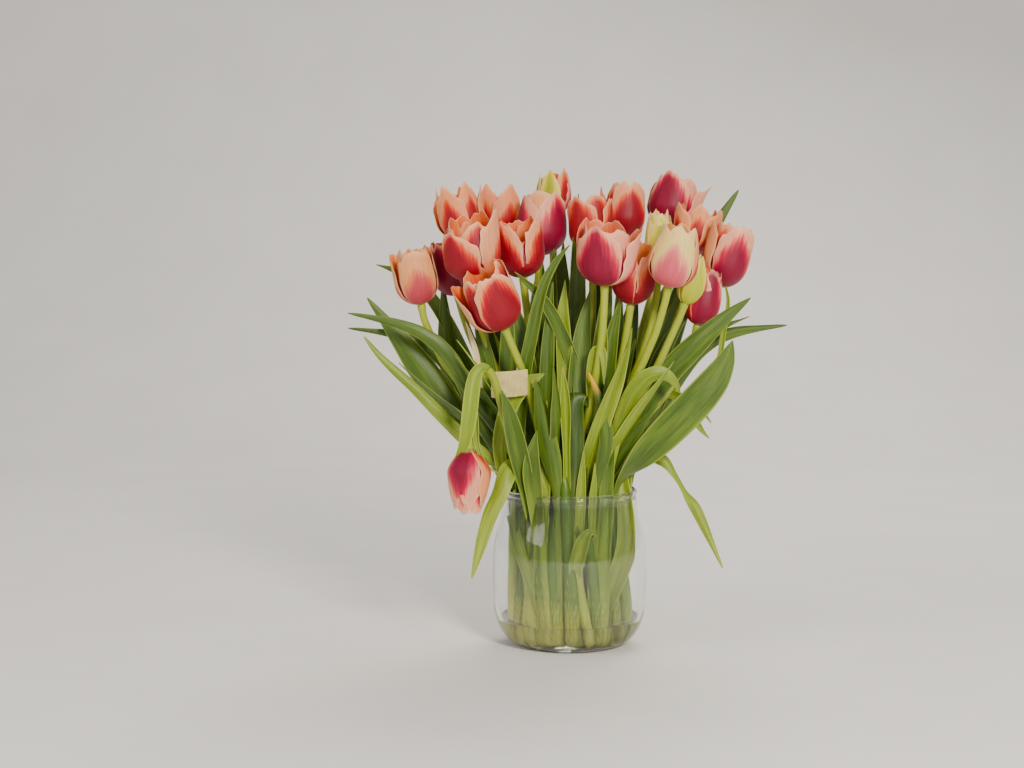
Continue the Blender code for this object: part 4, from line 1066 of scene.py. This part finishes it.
def petalMesh(cup, look, seed):
    # a grid shaped into one cupped petal; cup holds seat, axis, front, side, height and radius of the flower
    seat, axis, facing, beside, height, radius = cup
    inner = look["inner"]
    out = facing * math.cos(look["angle"]) + beside * math.sin(look["angle"])
    around = np.cross(axis, out)
    tall = height * look["tall"]
    if inner:
        size, top, lean, seatRadius, lift, width = 0.90, look["innerTop"], look["innerLean"], 2.6, 0.8, 0.92
    else:
        size, top, lean, seatRadius, lift, width = 1.0, look["top"], 0, 3.4, 0.0, 1.0
    size, lean = radius * size, math.radians(look["lean"] + lean)
    seatRadius, lift, width = seatRadius * mm, lift * mm, look["wide"] * radius * width
    bowl, bowlHeight, mix = look["bowl"], look["bowlHeight"] * tall, look["taper"]
    bm = uvGrid("petal", look["columns"], look["rows"])
    for vert in bm.verts:
        u, v = vert.co.x, (vert.co.y + 1) / 2
        # ragged top: broad lobes with small teeth on them
        ragged = look["fringe"] * (noise.noise(Vector((u * 3.1, seed, 0.3))) * 1.3
                                   + noise.noise(Vector((u * 8.0, seed, 4.1)))
                                   - 1.4 * max(0.0, noise.noise(Vector((u * 2.3, seed, 9.4)))))
        w = v * (1 - look["drop"] * abs(u) ** look["power"] + ragged)
        # the bowl rises in a quarter turn, mixed with a straight taper, and the crown goes on from it
        q = min(w / bowl, 1.0)
        r = seatRadius + (size - seatRadius) * ((1 - mix) * math.sin(q * math.pi / 2) + mix * q)
        h = bowlHeight * ((1 - mix) * (1 - math.cos(q * math.pi / 2)) + mix * q)
        t = max(0.0, (w - bowl) / (1 - bowl))
        r += size * (top - 1) * t ** 1.7 + look["flare"] * size * t ** 3
        h += (tall - bowlHeight) * t
        s = min(w / 0.5, 1.0)
        spread = 0.20 + 0.80 * math.sin(s * math.pi / 2) ** 0.85
        spread *= 1 - 0.30 * max(0.0, (w - 0.55) / 0.45) ** 2
        spread *= 1 + (0.02 + 0.9 * look["fringe"]) * noise.noise(Vector((v * 8, seed + (u > 0) * 11, 2.2)))
        # wrapped round the flower, with a rippled edge, a keel down the middle and one side over the next
        bend = r * look["curl"] * (1 - t) + (0.55 * r + 0.45 * size) * t
        phi = max(-2.2, min(2.2, u * width * spread / bend))
        ripple = noise.noise(Vector((w * 5, seed + (u > 0) * 5, 7.7)))
        ripple *= 2.2 * look["wave"] * mm * abs(u) ** 3 * (0.3 + t)
        keel = 0.35 * mm * math.exp(-(u / 0.09) ** 2) * (1 - 0.7 * t)
        away = r + ripple + keel + 0.7 * mm * u * s - bend * (1 - math.cos(phi)) - seatRadius
        outward = seatRadius + away * math.cos(lean) + h * math.sin(lean)
        upward = h * math.cos(lean) - away * math.sin(lean) + lift
        vert.co = seat + out * outward + around * bend * math.sin(phi) + axis * upward
    setAttribute(bm, [(*look["flame"], seed)] * len(bm.verts), "bloom")
    return bm


def frontAndSide(axis):
    facing = np.array([0.0, -1.0, 0.0])
    facing = unit(facing - (facing @ axis) * axis)
    return facing, np.cross(axis, facing)


def buildFlower(tulip, stem, skins):
    node = tulip + ("_bud" if tulip + "_bud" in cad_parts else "_flower")
    axis = unit(stem[-2] - stem[-5])
    points = nodeTriangles(node).reshape(-1, 3)
    seat = stem[-1] - axis * (stemSettings["intoFlower"] - 0.2 * mm)
    heights = (points - seat) @ axis
    radius = np.linalg.norm(points - seat - heights[:, None] * axis, axis=1).max()
    cup = (seat, axis, *frontAndSide(axis), heights.max(), radius)
    look = {**bloomDefaults, **blooms[tulip]}
    for k in range(6):
        rng = random.Random(tulip + str(k))
        petal = {**look, **look["petals"].get(k, {})}
        petal["inner"] = k >= 3
        petal["angle"] = math.radians(look["turn"] + 120 * (k % 3) + 60 * (k >= 3) + rng.uniform(-5, 5))
        petal["tall"] *= rng.uniform(0.97, 1.01)
        petal["lean"] += rng.uniform(-1.5, 1.5)
        bm = petalMesh(cup, petal, rng.uniform(0, 9))
        # the outer face has to be the first material: turn the sheet if it looks inwards
        bm.normal_update()
        if sum(np.array(f.normal) @ (np.array(f.calc_center_median()) - seat) for f in bm.faces) < 0:
            bmesh.ops.reverse_faces(bm, faces=bm.faces)
        name = f"{tulip}_petal_{k + 1}"
        piece = finishPiece(bm, name, skins[petal["skin"]], [node], facesOut=True)
        addThickness(piece, petal["thickness"], insideSlot=1)
        addSubdivision(piece)
    return seat, axis, heights.max()


heartSettings = {
    "pistilTall": 0.40, "pistilRadius": 2.6 * mm, "antherTall": 0.30, "antherRing": 5.5 * mm,
    "lift": 1 * mm, "filament": (0.5 * mm, 0.6 * mm), "anther": 1.0 * mm,
}


def buildHeart(tulip, seat, axis, height, material):
    # three-lobed pistil with six anthers round it
    h = heartSettings
    facing, beside = frontAndSide(axis)
    turn = Matrix((beside, -facing, axis)).transposed().to_4x4()
    bm = bmesh.new()
    tall = height * h["pistilTall"]
    bmesh.ops.create_cone(bm, cap_ends=True, segments=9, radius1=h["pistilRadius"] * 0.8,
                          radius2=h["pistilRadius"], depth=tall,
                          matrix=Matrix.Translation((0, 0, tall / 2 + h["lift"])))
    for vert in bm.verts:
        if vert.co.z > tall * 0.8:
            lobe = 1.3 * (1 + 0.5 * math.cos(3 * math.atan2(vert.co.y, vert.co.x)))
            vert.co.x *= lobe
            vert.co.y *= lobe
    rng = random.Random(tulip)
    for k in range(6):
        a = math.radians(60 * k + rng.uniform(-8, 8))
        place = Vector((math.cos(a), math.sin(a), 0)) * h["antherRing"]
        place.z = height * h["antherTall"] * rng.uniform(0.9, 1.1)
        low, high = h["filament"]
        middle = Matrix.Translation((place.x * 0.8, place.y * 0.8, place.z / 2 + h["lift"]))
        bmesh.ops.create_cone(bm, cap_ends=True, segments=6, radius1=low, radius2=high, depth=place.z,
                              matrix=middle)
        bmesh.ops.create_uvsphere(bm, u_segments=8, v_segments=6, radius=h["anther"],
                                  matrix=Matrix.Translation(place) @ Matrix.Diagonal((1.1, 1.1, 3.6, 1)))
    bmesh.ops.transform(bm, matrix=Matrix.Translation(Vector(seat)) @ turn, verts=bm.verts)
    finishPiece(bm, tulip + "_heart", [material])


tapeSettings = {
    "columns": 14, "rows": 10, "thickness": 0.35 * mm, "bulge": 3.2 * mm, "tear": 0.7 * mm,
    "crumple": 0.5 * mm, "slope": 1.6 * mm, "wide": 0.97, "tall": 0.93,
}


def buildTape(material):
    # a strip stuck round the stems in front, bulging over them, with torn ends
    t = tapeSettings
    points = nodeTriangles("paper_tape").reshape(-1, 3)
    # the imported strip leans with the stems: fit its plane from its own points
    centre = points.mean(0)
    _, _, rows = np.linalg.svd(np.unique(np.round(points, 6), axis=0) - centre, full_matrices=False)
    normal = rows[2] if rows[2][1] < 0 else -rows[2]
    right = unit(np.array([1.0, 0, 0]) - normal[0] * normal)
    up = np.cross(normal, right)
    up = up if up[2] > 0 else -up
    halfWide = np.abs((points - centre) @ right).max() * t["wide"]
    halfTall = np.abs((points - centre) @ up).max() * t["tall"]
    bm = uvGrid("tape", t["columns"], t["rows"])
    for vert in bm.verts:
        u, v = vert.co.x, vert.co.y
        tear = t["tear"] * noise.noise(Vector((v * 5, 3.3, u * 2))) * (abs(u) > 0.95)
        over = t["bulge"] * (0.5 * (1 - u * u) ** 0.8 - 0.25)
        over += t["crumple"] * noise.noise(Vector((u * 3.2, v * 1.5, 0.4)))
        vert.co = (centre + right * (u * halfWide + tear) + up * (v * halfTall + t["slope"] * u)
                   + normal * over)
    piece = finishPiece(bm, "tapeStrip", [material], ["paper_tape"])
    addThickness(piece, t["thickness"])
    addSubdivision(piece)


buildStage()
buildFloor()
print("camera, lights and floor are up")

buildJar(jarGlass())
buildWater(jarWater())
print("jar and water are turned")

stemMaterials = [stemSkin(name) for name in stemSkins]
stems = {name[:-5]: buildStem(name, stemMaterials[0])
         for name in sorted(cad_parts) if name.endswith("_stem")}
print("stems drawn:", len(stems))

leafMaterials = {name: leafBlade(name + "Skin", shades) for name, shades in leafSkins.items()}
for name in leafLooks:
    packedLeaf(name, leafMaterials)
for name in looseLeaves:
    looseLeaf(name, leafMaterials)
rollFeet(stems, stemMaterials[1:])
stemLeaves = clotheStems(stems, leafMaterials)
print("leaves laid:", len(leafLooks) + len(looseLeaves) + stemLeaves)

skins = {name: (flamePetal(name + "Petal", shades), petalInside(name + "PetalInside", shades))
         for name, shades in petalSkins.items()}
heartMaterial = pollenAndPistil()
for tulip in sorted(blooms):
    seat, axis, height = buildFlower(tulip, stems[tulip], skins)
    if tulip + "_flower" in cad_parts:
        buildHeart(tulip, seat, axis, height, heartMaterial)
print("flowers opened:", len(blooms))

buildTape(crepeTape())
print("tape stuck on")

bpy.context.view_layer.update()
